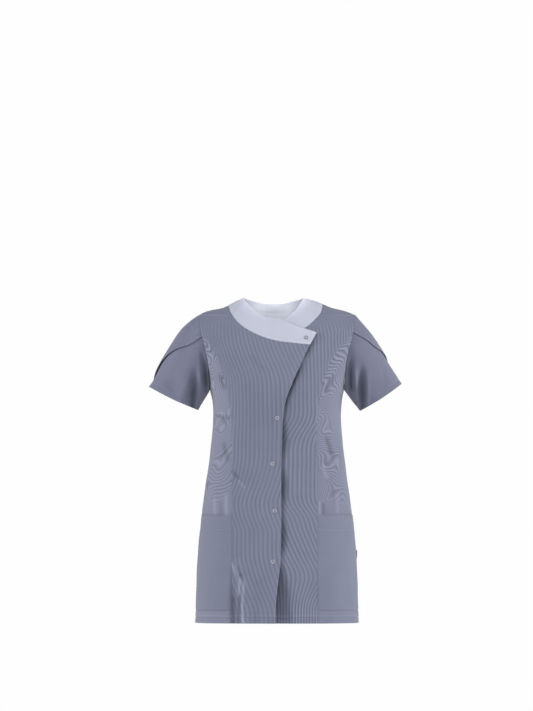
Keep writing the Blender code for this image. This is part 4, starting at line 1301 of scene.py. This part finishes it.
def sleeve_point(name, angle, t):
    """A point of a sleeve's form: degrees round the arm from the top, and t from armhole to hem."""
    sleeve, side = SLEEVES[name], SIDES[name]
    angle, t = np.broadcast_arrays(np.asarray(angle, float), np.asarray(t, float))
    cos, sin = np.cos(np.radians(angle))[..., None], np.sin(np.radians(angle))[..., None]
    t = t[..., None]
    top = np.array([side * sleeve["outer"][0], 0, sleeve["outer"][1]])
    under = np.array([side * sleeve["inner"][0], 0, sleeve["inner"][1]])
    deep = np.array([0, -SLEEVE_HALF_DEPTH, 0])
    start = armhole_at(name, angle)
    end = (top + under) / 2 + (top - under) / 2 * cos + deep * sin
    down_the_arm = unit(top - armhole_line(side, [0.0])[0])
    off_the_cap = np.array([-side * down_the_arm[2], 0, side * down_the_arm[0]])
    end = end + down_the_arm * SLEEVE_HEM_DIP * sin**2
    cap = sleeve["cap"] * t * (1 - t) ** 2 * ((1 + cos) / 2) ** 2
    full = SLEEVE_FULLNESS * 4 * t * (1 - t) * unit(deep) * sin
    return (1 - t) * start + t * end + cap * off_the_cap + full


def sleeve_normal(name, angle, t):
    """The outward direction of a sleeve's form."""
    round_arm = sleeve_point(name, angle + ANGLE_STEP, t) - sleeve_point(name, angle - ANGLE_STEP, t)
    along_arm = sleeve_point(name, angle, t + ALONG_STEP) - sleeve_point(name, angle, t - ALONG_STEP)
    return unit(np.cross(round_arm, along_arm)) * SIDES[name]


for name in SLEEVES:
    print("the", name, "sleeve ends at", sleeve_point(name, 0, 1).round(4), "on top of the arm")

# %% Folds of the sleeves
DEGREE_ROUND = 0.0012
LENGTH_ALONG = 0.13
SLEEVE_FOLDS = table(
    "SIDE from_angle from_along to_angle to_along half_width height",
    [
        ("right", -120, 0.05, -150, 1.05, 0.018, -0.0055),
        ("right", -80, 0.30, -100, 1.05, 0.020, 0.0030),
        ("right", 60, 0.40, 96, 0.95, 0.007, 0.0012),
        ("right", -60, 0.10, -80, 0.60, 0.009, -0.0014),
        ("left", -118, 0.05, -146, 1.05, 0.018, -0.0055),
        ("left", -80, 0.30, -96, 1.05, 0.020, 0.0030),
        ("left", 40, 0.55, 70, 0.98, 0.008, -0.0012),
        ("left", -56, 0.10, -76, 0.60, 0.009, -0.0014),
    ],
)
SLEEVE_CREASES = table(
    FOLD_COLUMNS,
    [
        ("front", -0.1915, -0.112, -0.1815, -0.228, 0.0066, -0.0130),
        ("front", -0.2030, -0.112, -0.1975, -0.206, 0.0050, 0.0030),
        ("front", -0.2110, -0.150, -0.2190, -0.272, 0.0088, -0.0140),
        ("front", -0.2420, -0.140, -0.2480, -0.270, 0.0120, 0.0030),
        ("front", -0.2900, -0.170, -0.2700, -0.235, 0.0140, -0.0022),
        ("front", 0.1890, -0.118, 0.1915, -0.234, 0.0064, -0.0130),
        ("front", 0.1985, -0.135, 0.2055, -0.216, 0.0044, 0.0034),
        ("front", 0.2170, -0.130, 0.2215, -0.272, 0.0092, -0.0150),
        ("front", 0.2352, -0.150, 0.2340, -0.262, 0.0040, 0.0036),
        ("front", 0.2800, -0.150, 0.2700, -0.240, 0.0150, -0.0020),
    ],
)
SLEEVE_ENDS_Z = -0.26
SLEEVE_FADES_IN = 0.62
FACES_FRONT = (0.15, 0.55)
# Painted highlight on the sleeve creases' ridges and painted shade in their troughs.
SLEEVE_PAINTED_SHADING = 0.52
SLEEVE_PAINTED_SHADING_AT = 0.012


def sleeve_fold_height(name, angle, t):
    """How far a sleeve's folds stand out of its form. They are placed by degrees and by t."""
    metres = np.array([DEGREE_ROUND, LENGTH_ALONG])
    place = np.stack(np.broadcast_arrays(angle, t), -1) * metres
    rows = SLEEVE_FOLDS[SLEEVE_FOLDS["side"] == name]
    return sum(row["height"] * shape for row, shape in crease_shapes(place, rows, 1.0, scale=metres))


def sleeve_creases(form, normal):
    """How far the creases on a sleeve's front stand out, and their painted highlight on a ridge and painted
    shade in a trough. They fade towards its sides.
    """
    height, tone = np.zeros(form.shape[:-1]), np.zeros(form.shape[:-1])
    for row, shape in crease_shapes(form[..., [0, 2]], SLEEVE_CREASES, SLEEVE_ENDS_Z, SLEEVE_FADES_IN):
        shape = shape * ease(-normal[..., 1], *FACES_FRONT)
        height += row["height"] * shape
        tone += SLEEVE_PAINTED_SHADING * np.clip(row["height"] / SLEEVE_PAINTED_SHADING_AT, -1, 1) * shape
    return height, np.clip(tone, -SLEEVE_PAINTED_SHADING, SLEEVE_PAINTED_SHADING)


print("folds and creases of the sleeves:", len(SLEEVE_FOLDS) + len(SLEEVE_CREASES))

# %% [markdown]
# A petal is a part of that tube. Its grid runs round the arm from the underarm to the petal's free edge,
# and from a little inside the armhole to the hem. The upper petal lies a cloth's thickness farther out
# and stands off along its free edge. Close to the armhole both are pressed together in one seam.

# %% Cutting the petals
PETAL_EDGES = table(
    "along right left hidden",
    [(0.0, 65, 57, -45), (0.25, 57, 43, -50), (0.5, 32, 21, -60), (0.62, 19, -6, -66), (0.75, 4, -34, -74)]
    + [(1.0, -38, -56, -88)],
)
PETAL_STAND_OFF = table(
    "along right left",
    [(0.0, 0.0004, 0.0004), (0.3, 0.0016, 0.0012), (0.6, 0.0032, 0.0014), (0.8, 0.0036, 0.0004)]
    + [(1.0, 0.0015, 0.0002)],
)
PETAL_STEP = 3
PETAL_ROWS = 58
PETAL_CLOSER = 0.5
PETAL_GAP = 0.0010
PETAL_RISES = (-110, -70)
PETAL_PRESSED_UNTIL = 0.3
PETAL_FREED_OVER = 20
PETAL_FLARES_OVER = 50
TUCKED_FROM = -0.03


def petal(name, over):
    """A petal's grid as degrees and shares of the arm's length, and its lift off the sleeve's form."""
    t = TUCKED_FROM + (1 - TUCKED_FROM) * closer_at_ends(PETAL_ROWS, PETAL_CLOSER)[:, None]
    pressed = CLOTH + PETAL_GAP
    sink = pressed * (1 - ease(t, 0.0, PETAL_PRESSED_UNTIL))
    edge = read(PETAL_EDGES, name if over else "hidden", t)
    start = -180 if over else 180
    columns = int(abs(edge[0, 0] - start) / PETAL_STEP) + 1
    angle = start + closer_at_ends(columns, PETAL_CLOSER)[None] * (edge - start)
    if over:
        stand = read(PETAL_STAND_OFF, name, t)
        flare = 1 - ease(edge - angle, 0, PETAL_FLARES_OVER)
        lift = (pressed - sink) * ease(angle, *PETAL_RISES) + stand * flare
    else:
        covered = 1 - ease(angle, PRINCESS_ANGLE, PRINCESS_ANGLE + PETAL_FREED_OVER)
        lift = -sink * ease(angle, *PETAL_RISES) * covered
    return *np.broadcast_arrays(angle, t), lift


for name in SLEEVES:
    print("rows and columns of the", name, "upper petal:", petal(name, True)[0].shape)

# %% Sewing the petals
RIM_TURNS_UNTIL = 0.15
SLEEVE_HEM = 0.0145
PETAL_HEM = 0.0062
TO_VIEWER = np.array([0.0, -1.0, 0.0])
TUCK_DEPTH = 0.0022
CREASES_FROM = (0.0, 0.055)
PETAL_SLANT = 20
PETAL_BANDS = 0.7


def petal_surface(name, over):
    """A petal's outer points, the directions out of the cloth and the painted light and shade of its
    creases.
    """
    angle, t, lift = petal(name, over)
    seam = armhole_at(name, angle)
    form = sleeve_point(name, angle, t)
    normal = sleeve_normal(name, angle, t)
    share = ((1 + np.cos(np.radians(angle))) / 2) ** 2 * (1 - ease(t, 0, RIM_TURNS_UNTIL))
    out_of_cloth = unit(normal + (body_normal(seam) - normal) * share[..., None])
    uneven = unevenness(form) * ease(t, 0, RIM_TURNS_UNTIL)
    bites = stitched_in(border_distance(form, "top"), SLEEVE_HEM) + seam_valley(form, ["bottom"])
    if over:
        bites = bites + stitched_in(border_distance(form, "right"), PETAL_HEM)
    begun = ease(t, *CREASES_FROM)
    tuck = TUCK_DEPTH * np.clip(t / TUCKED_FROM, 0, 1)
    height = sleeve_fold_height(name, angle, t) * begun + uneven - bites - tuck
    creases, tone = sleeve_creases(form, normal)
    form = form + TO_VIEWER * (creases * begun)[..., None]
    return form + normal * height[..., None] + out_of_cloth * lift[..., None], out_of_cloth, tone * begun


for name in SLEEVES:
    for label in ("under", "over"):
        points, out_of_cloth, tone = petal_surface(name, label == "over")
        threads = np.stack([along(points, 1), -along(points, 0)], -1)
        bands = swirling_bands(threads, PETAL_SLANT, PETAL_BANDS)
        sew(f"petal_{label}_{name}", points, out_of_cloth, threads, bands, tone)

# %% [markdown]
# ## The collar band
#
# The band is two layers of white cloth, turned and topstitched, so it is a little thicker and stiffer
# than the rest and keeps a slight crown across its width. It is a loft between the neck seam and the
# free edge. Over the crossover it lies on the lifted right front, which is why its first sections are
# lifted too.

# %% The collar
COLLAR_CLOTH = 0.0020
COLLAR_CROWN = 0.0016
COLLAR_COLUMNS = 300
COLLAR_ROWS = 18
COLLAR_STITCH = 0.0042
COLLAR_BITE = 0.00035
COLLAR_BITE_REACH = 0.0016
COLLAR_STITCHED = ("bottom", "top", "left")
STIFF_CLOTH = 0.5


def collar_grid(at, share):
    """The collar's outer points and their outward directions. share goes from the seam to the edge."""
    seam = neck_seam(at)
    lifted = seam + body_normal(seam) * overlap_lift(seam)[:, None]
    seam = np.where((at < NECK_RIGHT / 2)[:, None], lifted, seam)
    edge = np.stack([collar_curve(column, at) for column in ("edge_x", "edge_y", "edge_z")], -1)
    share = np.asarray(share)[:, None, None]
    grid = (1 - share) * seam + share * edge
    normal = unit(np.cross(np.gradient(grid, axis=0), np.gradient(grid, axis=1)))
    normal *= np.sign((normal * (grid - grid.mean((0, 1)))).sum(-1).mean())
    return grid + normal * (COLLAR_CROWN * np.sin(math.pi * share)), normal


def sew_white(name, points, normal, bites, tone, thickness):
    """Sews in a piece of white cloth, which is stiffer, so that its unevenness is lower."""
    points = points + normal * (STIFF_CLOTH * unevenness(points) - bites)[..., None]
    threads = np.stack([along(points, 1), along(points, 0)], -1)
    sew(name, points, normal, threads, None, tone, thickness)


points, normal = collar_grid(np.linspace(0, COLLAR_END, COLLAR_COLUMNS), closer_at_ends(COLLAR_ROWS))
bites = sum(
    stitched_in(border_distance(points, border), COLLAR_STITCH, COLLAR_BITE, COLLAR_BITE_REACH)
    for border in COLLAR_STITCHED
)
sew_white("collar", points, normal, bites, 0.0, COLLAR_CLOTH)

# %% [markdown]
# ## The facing inside the back neck
#
# Through the neck we look at the inside of the back, and it is white: a facing hangs from the collar's
# edge and covers the seam there. It is a strip of the same white cloth, painted lighter than the collar:
# painted light for the inside of the neck. We hang it from the collar's own edge points and let it lean
# outwards as it goes down, so that it faces up and catches the light.

# %% Neck facing
FACING_DROP = 0.052
FACING_SLOPE = 0.012
FACING_INSIDE = 0.0024
FACING_BELOW = 0.0012
FACING_CLOTH = 0.0012
FACING_COLUMNS = 110
FACING_ROWS = 22
FACING_CLOSER = 0.4
FACING_OVER_FRONT = 0.7
COLLAR_RIM = (0.97, 1.0)
FACING_SEAM = 0.0236
FACING_SEAM_BITE = 0.0009
FACING_SEAM_REACH = 0.0014
FACING_SEAM_SHADE = 0.12
FACING_SEAM_SHADE_REACH = 0.0012
SIDE_SHADE = 0.16
SIDE_SHADE_FROM = (0.034, 0.066)
UP = np.array([0.0, 0.0, 1.0])

at = np.linspace(NECK_RIGHT - FACING_OVER_FRONT, NECK_LEFT + FACING_OVER_FRONT, FACING_COLUMNS)
rim, _ = collar_grid(at, COLLAR_RIM)
top = rim[-1]
into_neck = unit(np.cross(unit(np.gradient(top, axis=0)), UP))
into_neck *= np.sign((into_neck * (top.mean(0) - top)).sum(-1).mean())
down = closer_at_ends(FACING_ROWS, FACING_CLOSER)[:, None, None]
points = top + FACING_INSIDE * into_neck - FACING_BELOW * UP
points = points - down * (FACING_DROP * UP + FACING_SLOPE * into_neck)
normal = np.broadcast_to(into_neck, points.shape)
drop = border_distance(points, "bottom")
bites = stitched_in(drop, FACING_SEAM, FACING_SEAM_BITE, FACING_SEAM_REACH)
from_middle = np.abs(points[..., 0] - points[..., 0].mean())
shade = SIDE_SHADE * ease(from_middle, *SIDE_SHADE_FROM)
shade = shade + FACING_SEAM_SHADE * hump(drop - FACING_SEAM, FACING_SEAM_SHADE_REACH)
sew_white("neck_facing", points, normal, bites, -shade, FACING_CLOTH)

# %% [markdown]
# ## Patch pockets
#
# The lower side panels carry a patch pocket each, as wide as the panel, of plain cloth. Its mouth is a
# wide hem that stands a little open, because hands have pulled it. The pocket's grid is the panel's own
# level sections, moved out by a cloth's thickness, so it follows every fold beneath it, and beside the
# princess seam it sinks with the panel.

# %% Pockets
POCKET_CLOTH = 0.0012
POCKET_MOUTH = 0.0010
POCKET_OPENS = (0.45, 1)
POCKET_INSET = 0.0004
POCKET_HEM = 0.036
POCKET_HEM_SAG = 0.0045
POCKET_HEM_LEVEL = 0.6
POCKET_ROWS = 86
POCKET_COLUMNS = 44
POCKET_CLOSER = 0.5
LAYER_GAP = 0.0004


def pocket_grid(side, name):
    """Level sections of the side panel between the pocket's bottom and its mouth."""
    rows = []
    for z in POCKET_BOTTOM_Z + closer_at_ends(POCKET_ROWS, POCKET_CLOSER) * (POCKET_TOP_Z - POCKET_BOTTOM_Z):
        seam = float(read(PRINCESS, name, z)) + POCKET_INSET
        edge = float(half_width(np.array(z), True)) - POCKET_INSET
        shares = closer_at_ends(POCKET_COLUMNS, POCKET_CLOSER)
        rows.append(level_arc(side * edge, side * seam, z, shares, True))
    return np.stack(rows)


bulge = np.sin(math.pi * np.linspace(0, 1, POCKET_COLUMNS))[None]
mouth = POCKET_MOUTH * bulge * ease(np.linspace(0, 1, POCKET_ROWS)[:, None], *POCKET_OPENS)
pocket_hem = POCKET_HEM + POCKET_HEM_SAG * (bulge - POCKET_HEM_LEVEL)
for name, side in SIDES.items():
    grid = pocket_grid(side, name)
    bites = stitched_in(border_distance(grid, "top"), pocket_hem)
    lift = LAYER_GAP + POCKET_CLOTH + mouth - bites + np.minimum(pocket_bed(grid), 0)
    points, normal = drape(grid, ["left", "right"], lift, hem=False)
    threads = np.stack([side * border_distance(grid, "right"), grid[..., 2]], -1)
    sew(f"pocket_{name}", points, normal, threads, None, crease_tone(grid), POCKET_CLOTH)

# %% [markdown]
# ## Stitches
#
# Topstitching is a row of short thread bridges, each a few millimetres long with a small gap where the
# thread dives into the cloth. Drawing it in the material would be flat. Here every stitch is a tiny
# six-sided spindle of its own, and all stitches of one seam are joined into one mesh. A thousand of
# them cost little, because each has only eighteen faces.

# %% Stitches along a line
STITCH = 0.0026
STITCH_STEP = 0.0034
STITCH_BEGINS = 0.12
STITCH_SIDES = 6
STITCH_SHOULDERS = (0.2, 0.8)
THREAD_RADIUS = 0.00027
THREAD_RISE = 0.5


def stitch(a, b, up, first):
    """The points and faces of one stitch from a to b. first is the number of its first point."""
    side = np.cross(unit(b - a), up)
    points = [a - up * THREAD_RADIUS]
    for share in STITCH_SHOULDERS:
        middle = a + (b - a) * share + up * THREAD_RADIUS * THREAD_RISE
        for turn in np.arange(STITCH_SIDES) * TURN / STITCH_SIDES:
            points.append(middle + (side * math.cos(turn) + up * math.sin(turn)) * THREAD_RADIUS)
    points.append(b - up * THREAD_RADIUS)
    faces = []
    for k in range(STITCH_SIDES):
        here, there = first + 1 + k, first + 1 + (k + 1) % STITCH_SIDES
        faces.append((first, there, here))
        faces.append((here, there, there + STITCH_SIDES, here + STITCH_SIDES))
        faces.append((first + len(points) - 1, here + STITCH_SIDES, there + STITCH_SIDES))
    return points, faces


def border_line(name, border, distance):
    """The line on a sewn piece that lies so far from one of its borders, and the directions out of it."""
    _, points, normals = sewn[name]
    far = border_distance(points, border)
    if border in ("bottom", "top"):
        far, points, normals = far.T, points.transpose(1, 0, 2), normals.transpose(1, 0, 2)
    line, out = [], []
    for row_far, row, row_out, wanted in zip(far, points, normals, np.broadcast_to(distance, len(far))):
        order = slice(None, None, 1 if row_far[-1] > row_far[0] else -1)
        line.append(points_at(wanted, row_far[order], row[order]))
        out.append(points_at(wanted, row_far[order], row_out[order]))
    return np.array(line), np.array(out)


def stitch_rows(name, borders, material):
    """Stitches along borders, each a sewn piece's name, a border and a distance, in one mesh."""
    points, faces = [], []
    for border in borders:
        line, normals = border_line(*border)
        length = np.linalg.norm(np.diff(line, axis=0), axis=1).sum()
        count = max(1, int(length / STITCH_STEP))
        starts = (np.arange(count) + STITCH_BEGINS) / count
        ends = np.minimum(starts + STITCH / length, 1)
        for a, b, up in zip(spread(line, starts), spread(line, ends), unit(spread(normals, starts))):
            stitch_points, stitch_faces = stitch(a, b, up, len(points))
            points += stitch_points
            faces += stitch_faces
    put_on(new_object(name, points, faces, material))
    print(f"{name}: {len(faces) // (3 * STITCH_SIDES)} stitches")


line, _ = border_line("collar", "top", COLLAR_STITCH)
print("the collar's edge is", round(np.linalg.norm(np.diff(line, axis=0), axis=1).sum(), 3), "m long")

# %% Sewing thread on every hem
THREAD_GRAINS_A_METRE = 700.0
THREAD_GRAIN = 0.3
THREAD_ROUGHNESS = 0.6


def grainy_material(name, colour, grains=THREAD_GRAINS_A_METRE, grain=THREAD_GRAIN, rough=THREAD_ROUGHNESS):
    """A matt material of one colour with a fine uneven grain, such as thread or paper."""
    material, tree, shader = new_material(name, rough)
    tint(tree, shader, colour, plus(tree, 1.0, times(tree, noise(tree, grains), grain)))
    return material


blue_thread = grainy_material("blue_thread", (0.300, 0.318, 0.405))
white_thread = grainy_material("white_thread", (0.690, 0.700, 0.780))

panels = ("front_right", "front_left", "back", "side_right", "side_left")
stitch_rows("hem_stitches", [(panel, "bottom", HEM_STITCH) for panel in panels], blue_thread)
for name in SIDES:
    hems = [(f"petal_{label}_{name}", "top", SLEEVE_HEM) for label in ("under", "over")]
    hems.append((f"petal_over_{name}", "right", PETAL_HEM))
    stitch_rows(f"sleeve_stitches_{name}", hems, blue_thread)
    hems = [(f"pocket_{name}", "top", pocket_hem[0])]
    stitch_rows(f"pocket_stitches_{name}", hems, blue_thread)
hems = [("collar", border, COLLAR_STITCH) for border in COLLAR_STITCHED]
stitch_rows("collar_stitches", hems, white_thread)

# %% [markdown]
# ## Ring snaps
#
# A ring snap is pressed through the cloth: a thin metal ring stands on the outside and the cloth shows in
# its middle, slightly domed. One closes the collar's tab and four close the front, well back from the
# free edge. The frame says where each one sits. We turn a finer ring in the same place and of the same
# size, with a low button of cloth inside it.

# %% Metal and button
METAL_GRAINS_A_METRE = 1500.0
METAL_GRAIN = 0.15
# Painted highlight: the cloth button in a front snap is painted lighter than the panel, for the light spot
# on its dome.
BUTTON_PAINTED_LIGHTER = 1.15


def metal_material(name, colour, roughness):
    """Bare metal whose roughness is a little uneven."""
    material, tree, shader = new_material(name, roughness)
    set_sockets(shader, {"Base Color": (*colour, 1.0), "Metallic": 1.0})
    uneven = times(tree, noise(tree, METAL_GRAINS_A_METRE), METAL_GRAIN)
    tree.links.new(plus(tree, roughness, uneven), shader.inputs["Roughness"])
    return material


SNAP_MATERIALS = {
    "collar": (
        metal_material("nickel_collar", (0.300, 0.310, 0.360), 0.55),
        grainy_material("button_collar", COLLAR_COLOUR),
    ),
    "front": (
        metal_material("nickel_front", (0.450, 0.455, 0.480), 0.48),
        grainy_material("button_front", [BUTTON_PAINTED_LIGHTER * part for part in FRONT_COLOUR]),
    ),
}
print("materials so far:", len(bpy.data.materials))

# %% Ring snaps
SNAP_TURNS = 48
SNAP_PROFILE = 10
RING_FLATNESS = 0.8
SNAP_BUTTON = (1.0, 0.9, 0.6, 0.3)
SNAP_BUTTON_RISE = 0.40


def ring_measures(points):
    """A ring's centre, its outward axis, its lowest place and height along it, and both its radii."""
    centre = points.mean(0)
    axis = np.linalg.svd(points - centre, full_matrices=False)[2][2]
    axis = axis if axis[1] < 0 else -axis
    heights = (points - centre) @ axis
    radii = np.linalg.norm(points - centre - np.outer(heights, axis), axis=1)
    return centre, axis, heights.min(), np.ptp(heights), radii.max(), radii.min()


def turned(profile, centre, axis):
    """Points of a profile turned round an axis, one level for each radius and height of the profile."""
    side = unit(np.cross(UP, axis))
    up = np.cross(axis, side)
    turns = np.arange(SNAP_TURNS)[:, None] * TURN / SNAP_TURNS
    out = side * np.cos(turns) + up * np.sin(turns)
    return np.concatenate([centre + out * radius + axis * height for radius, height in profile])


def level_faces(levels, around, first=0, closed=False):
    """Faces between levels of points. Closed, the last level joins the first, and else both get a lid."""
    at = first + np.arange(levels * around).reshape(levels, around)
    above = np.roll(at, -1, axis=0)
    if not closed:
        at, above, lids = at[:-1], above[:-1], [at[0, ::-1], at[-1]]
    sides = np.stack([at, np.roll(at, -1, axis=1), np.roll(above, -1, axis=1), above], -1).reshape(-1, 4)
    return list(sides) if closed else list(sides) + lids


def ring_snap(node_name):
    """A half-round ring with a button of cloth in the place of a frame's snap, read from its points."""
    cad_points = np.array([vertex.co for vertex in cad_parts[node_name].data.vertices])
    centre, axis, base, height, outer, inner = ring_measures(cad_points)
    middle, half = (outer + inner) / 2, (outer - inner) / 2
    arcs = np.linspace(0, math.pi, SNAP_PROFILE)
    ring = [(middle + half * math.cos(arc), base + height * math.sin(arc) ** RING_FLATNESS) for arc in arcs]
    crown = height * SNAP_BUTTON_RISE
    button = [(share * inner, base + crown * math.sqrt(1 - share**2)) for share in SNAP_BUTTON]
    points = np.concatenate([turned(ring, centre, axis), turned(button, centre, axis)])
    ring_faces = level_faces(SNAP_PROFILE, SNAP_TURNS, closed=True)
    button_faces = level_faces(len(SNAP_BUTTON), SNAP_TURNS, first=SNAP_PROFILE * SNAP_TURNS)
    materials = SNAP_MATERIALS["collar" if node_name == "snap_collar" else "front"]
    snap = new_object(f"ring_{node_name}", points, ring_faces + button_faces, *materials)
    for face in list(snap.data.polygons)[len(ring_faces):]:
        face.material_index = 1
    put_on(snap, node_name)
    print(node_name, "ring", round(2000 * outer, 1), "mm wide, hole", round(2000 * inner, 1), "mm")


for name in SNAP_NAMES:
    ring_snap(name)

# %% [markdown]
# ## The side tab
#
# The side tab is a scrap of woven tape, folded double and caught in the left side seam. Only its fold
# stands out, by less than four millimetres, and it is left blank. Its section is a bar with a round
# nose, drawn once and repeated up the tab, a little narrower at both cut ends.

# %% The side tab
TAB_REACH = 0.0036
TAB_HALF_CLOTH = 0.0009
TAB_NOSE_POINTS = 9
TAB_LEVELS = ((0.0, 0.82), (0.02, 1.0), (0.5, 1.03), (0.98, 1.0), (1.0, 0.82))

tab_low, tab_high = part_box("side_tab")
tab_y, tab_length = (tab_low[1] + tab_high[1]) / 2, tab_high[2] - tab_low[2]
nose =np.linspace(-math.pi / 2, math.pi / 2, TAB_NOSE_POINTS)
section = np.stack([TAB_REACH - TAB_HALF_CLOTH * (1 - np.cos(nose)), TAB_HALF_CLOTH * np.sin(nose)], -1)
section = np.concatenate([[[0.0, -TAB_HALF_CLOTH]], section, [[0.0, TAB_HALF_CLOTH]]])
tab_points = [
    (tab_low[0] + reach, tab_y + across, tab_low[2] + level * tab_length)
    for level, narrow in TAB_LEVELS
    for reach, across in section * narrow
]
tab_tape = grainy_material("tab_tape", (0.030, 0.034, 0.060))
tab = new_object("tunic_side_tab", tab_points, level_faces(len(TAB_LEVELS), len(section)), tab_tape)
put_on(tab, "side_tab")
print("side tab stands out", round(1000 * TAB_REACH, 1), "mm")

# %% [markdown]
# ## Stage, light and camera
#
# A catalogue photograph is lit softly from all sides and cut out on white. The world gives an even
# bluish light and shows white behind the tunic. Two lights, one at each side, graze the cloth and
# model its folds. A large one in front fills them, one behind lights the back, and a small lamp from high
# up reaches the facing inside the neck. The camera stands far away with a long lens, level with the
# middle of the picture, because the hem shows as a straight line.

# %% Lights
LIGHTS = table(
    "NAME x y z size power",
    [
        ("left_light", -3.3, -1.25, 1.1, 0.7, 92.0),
        ("right_light", 3.3, -1.25, 1.1, 0.7, 108.0),
        ("front_light", 0.1, -3.4, 1.0, 1.8, 38.0),
        ("back_light", 0.2, 3.4, 0.3, 1.8, 62.0),
    ],
)
LIT_CENTRE = (0.0, 0.0, -0.40)
NECK_LAMP = {"energy": 740.0, "spot_size": math.radians(3.0), "spot_blend": 0.7, "shadow_soft_size": 0.04}
NECK_LAMP_PLACE = (-0.01, -1.9, 2.9)
NECK_INSIDE = (-0.008, 0.048, -0.022)


def new_light(name, kind, place, aimed_at, **settings):
    """A light at a place, turned towards another one."""
    light = bpy.data.lights.new(name, kind)
    for key, value in settings.items():
        setattr(light, key, value)
    track = add(name, light, place).constraints.new("TRACK_TO")
    track.target = add(f"{name}_aim", None, aimed_at)
    track.track_axis, track.up_axis = "TRACK_NEGATIVE_Z", "UP_Y"


for name, x, y, z, size, power in LIGHTS.tolist():
    new_light(name, "AREA", (x, y, z), LIT_CENTRE, size=size, energy=power)
new_light("neck_lamp", "SPOT", NECK_LAMP_PLACE, NECK_INSIDE, **NECK_LAMP)
print("lights:", len(bpy.data.lights))

# %% World
AMBIENT_COLOUR = (0.88, 0.94, 1.12, 1)
AMBIENT = 0.20
BACKDROP_COLOUR = (0.99, 0.99, 0.99, 1)

world = bpy.data.worlds.new("studio")
bpy.context.scene.world = world
world.use_nodes = True
tree = world.node_tree
tree.nodes.clear()
around = node(tree, "ShaderNodeBackground", {"Color": AMBIENT_COLOUR, "Strength": AMBIENT})
shown = node(tree, "ShaderNodeBackground", {"Color": BACKDROP_COLOUR})
pick = node(tree, "ShaderNodeMixShader")
tree.links.new(node(tree, "ShaderNodeLightPath").outputs["Is Camera Ray"], pick.inputs[0])
tree.links.new(around.outputs[0], pick.inputs[1])
tree.links.new(shown.outputs[0], pick.inputs[2])
tree.links.new(pick.outputs[0], node(tree, "ShaderNodeOutputWorld").inputs[0])
bpy.context.scene.view_settings.view_transform = "Standard"
print("light from all round:", AMBIENT)

# %% Floor
FLOOR_Z = -1.16
FLOOR_HALF = 2.6
PAPER_COLOUR = (0.93, 0.93, 0.93)
corners = [(x * FLOOR_HALF, y * FLOOR_HALF, FLOOR_Z) for x, y in ((-1, -1), (1, -1), (1, 1), (-1, 1))]
floor = new_object("floor", corners, [(0, 1, 2, 3)], grainy_material("paper", PAPER_COLOUR, 60.0, 0.04, 0.9))
print("the floor lies", round(HEM_Z - FLOOR_Z, 2), "m below the hem")

# %% Camera
PHOTO_SIZE = (533, 711)
ORIGIN_PIXEL = (277, 306)
METRES_PER_PIXEL = 0.002593
CAMERA_DISTANCE = 40.0
SENSOR = 36.0

view_x = (PHOTO_SIZE[0] / 2 - ORIGIN_PIXEL[0]) * METRES_PER_PIXEL
view_z = (ORIGIN_PIXEL[1] - PHOTO_SIZE[1] / 2) * METRES_PER_PIXEL
camera_data = bpy.data.cameras.new("camera")
camera_data.lens = SENSOR * CAMERA_DISTANCE / (PHOTO_SIZE[1] * METRES_PER_PIXEL)
camera_data.clip_end = 2 * CAMERA_DISTANCE
camera = add("camera", camera_data, (view_x, -CAMERA_DISTANCE, view_z))
camera.rotation_euler = (math.pi / 2, 0, 0)
bpy.context.scene.camera = camera
print("lens:", round(camera_data.lens, 1), "mm at", CAMERA_DISTANCE, "m")
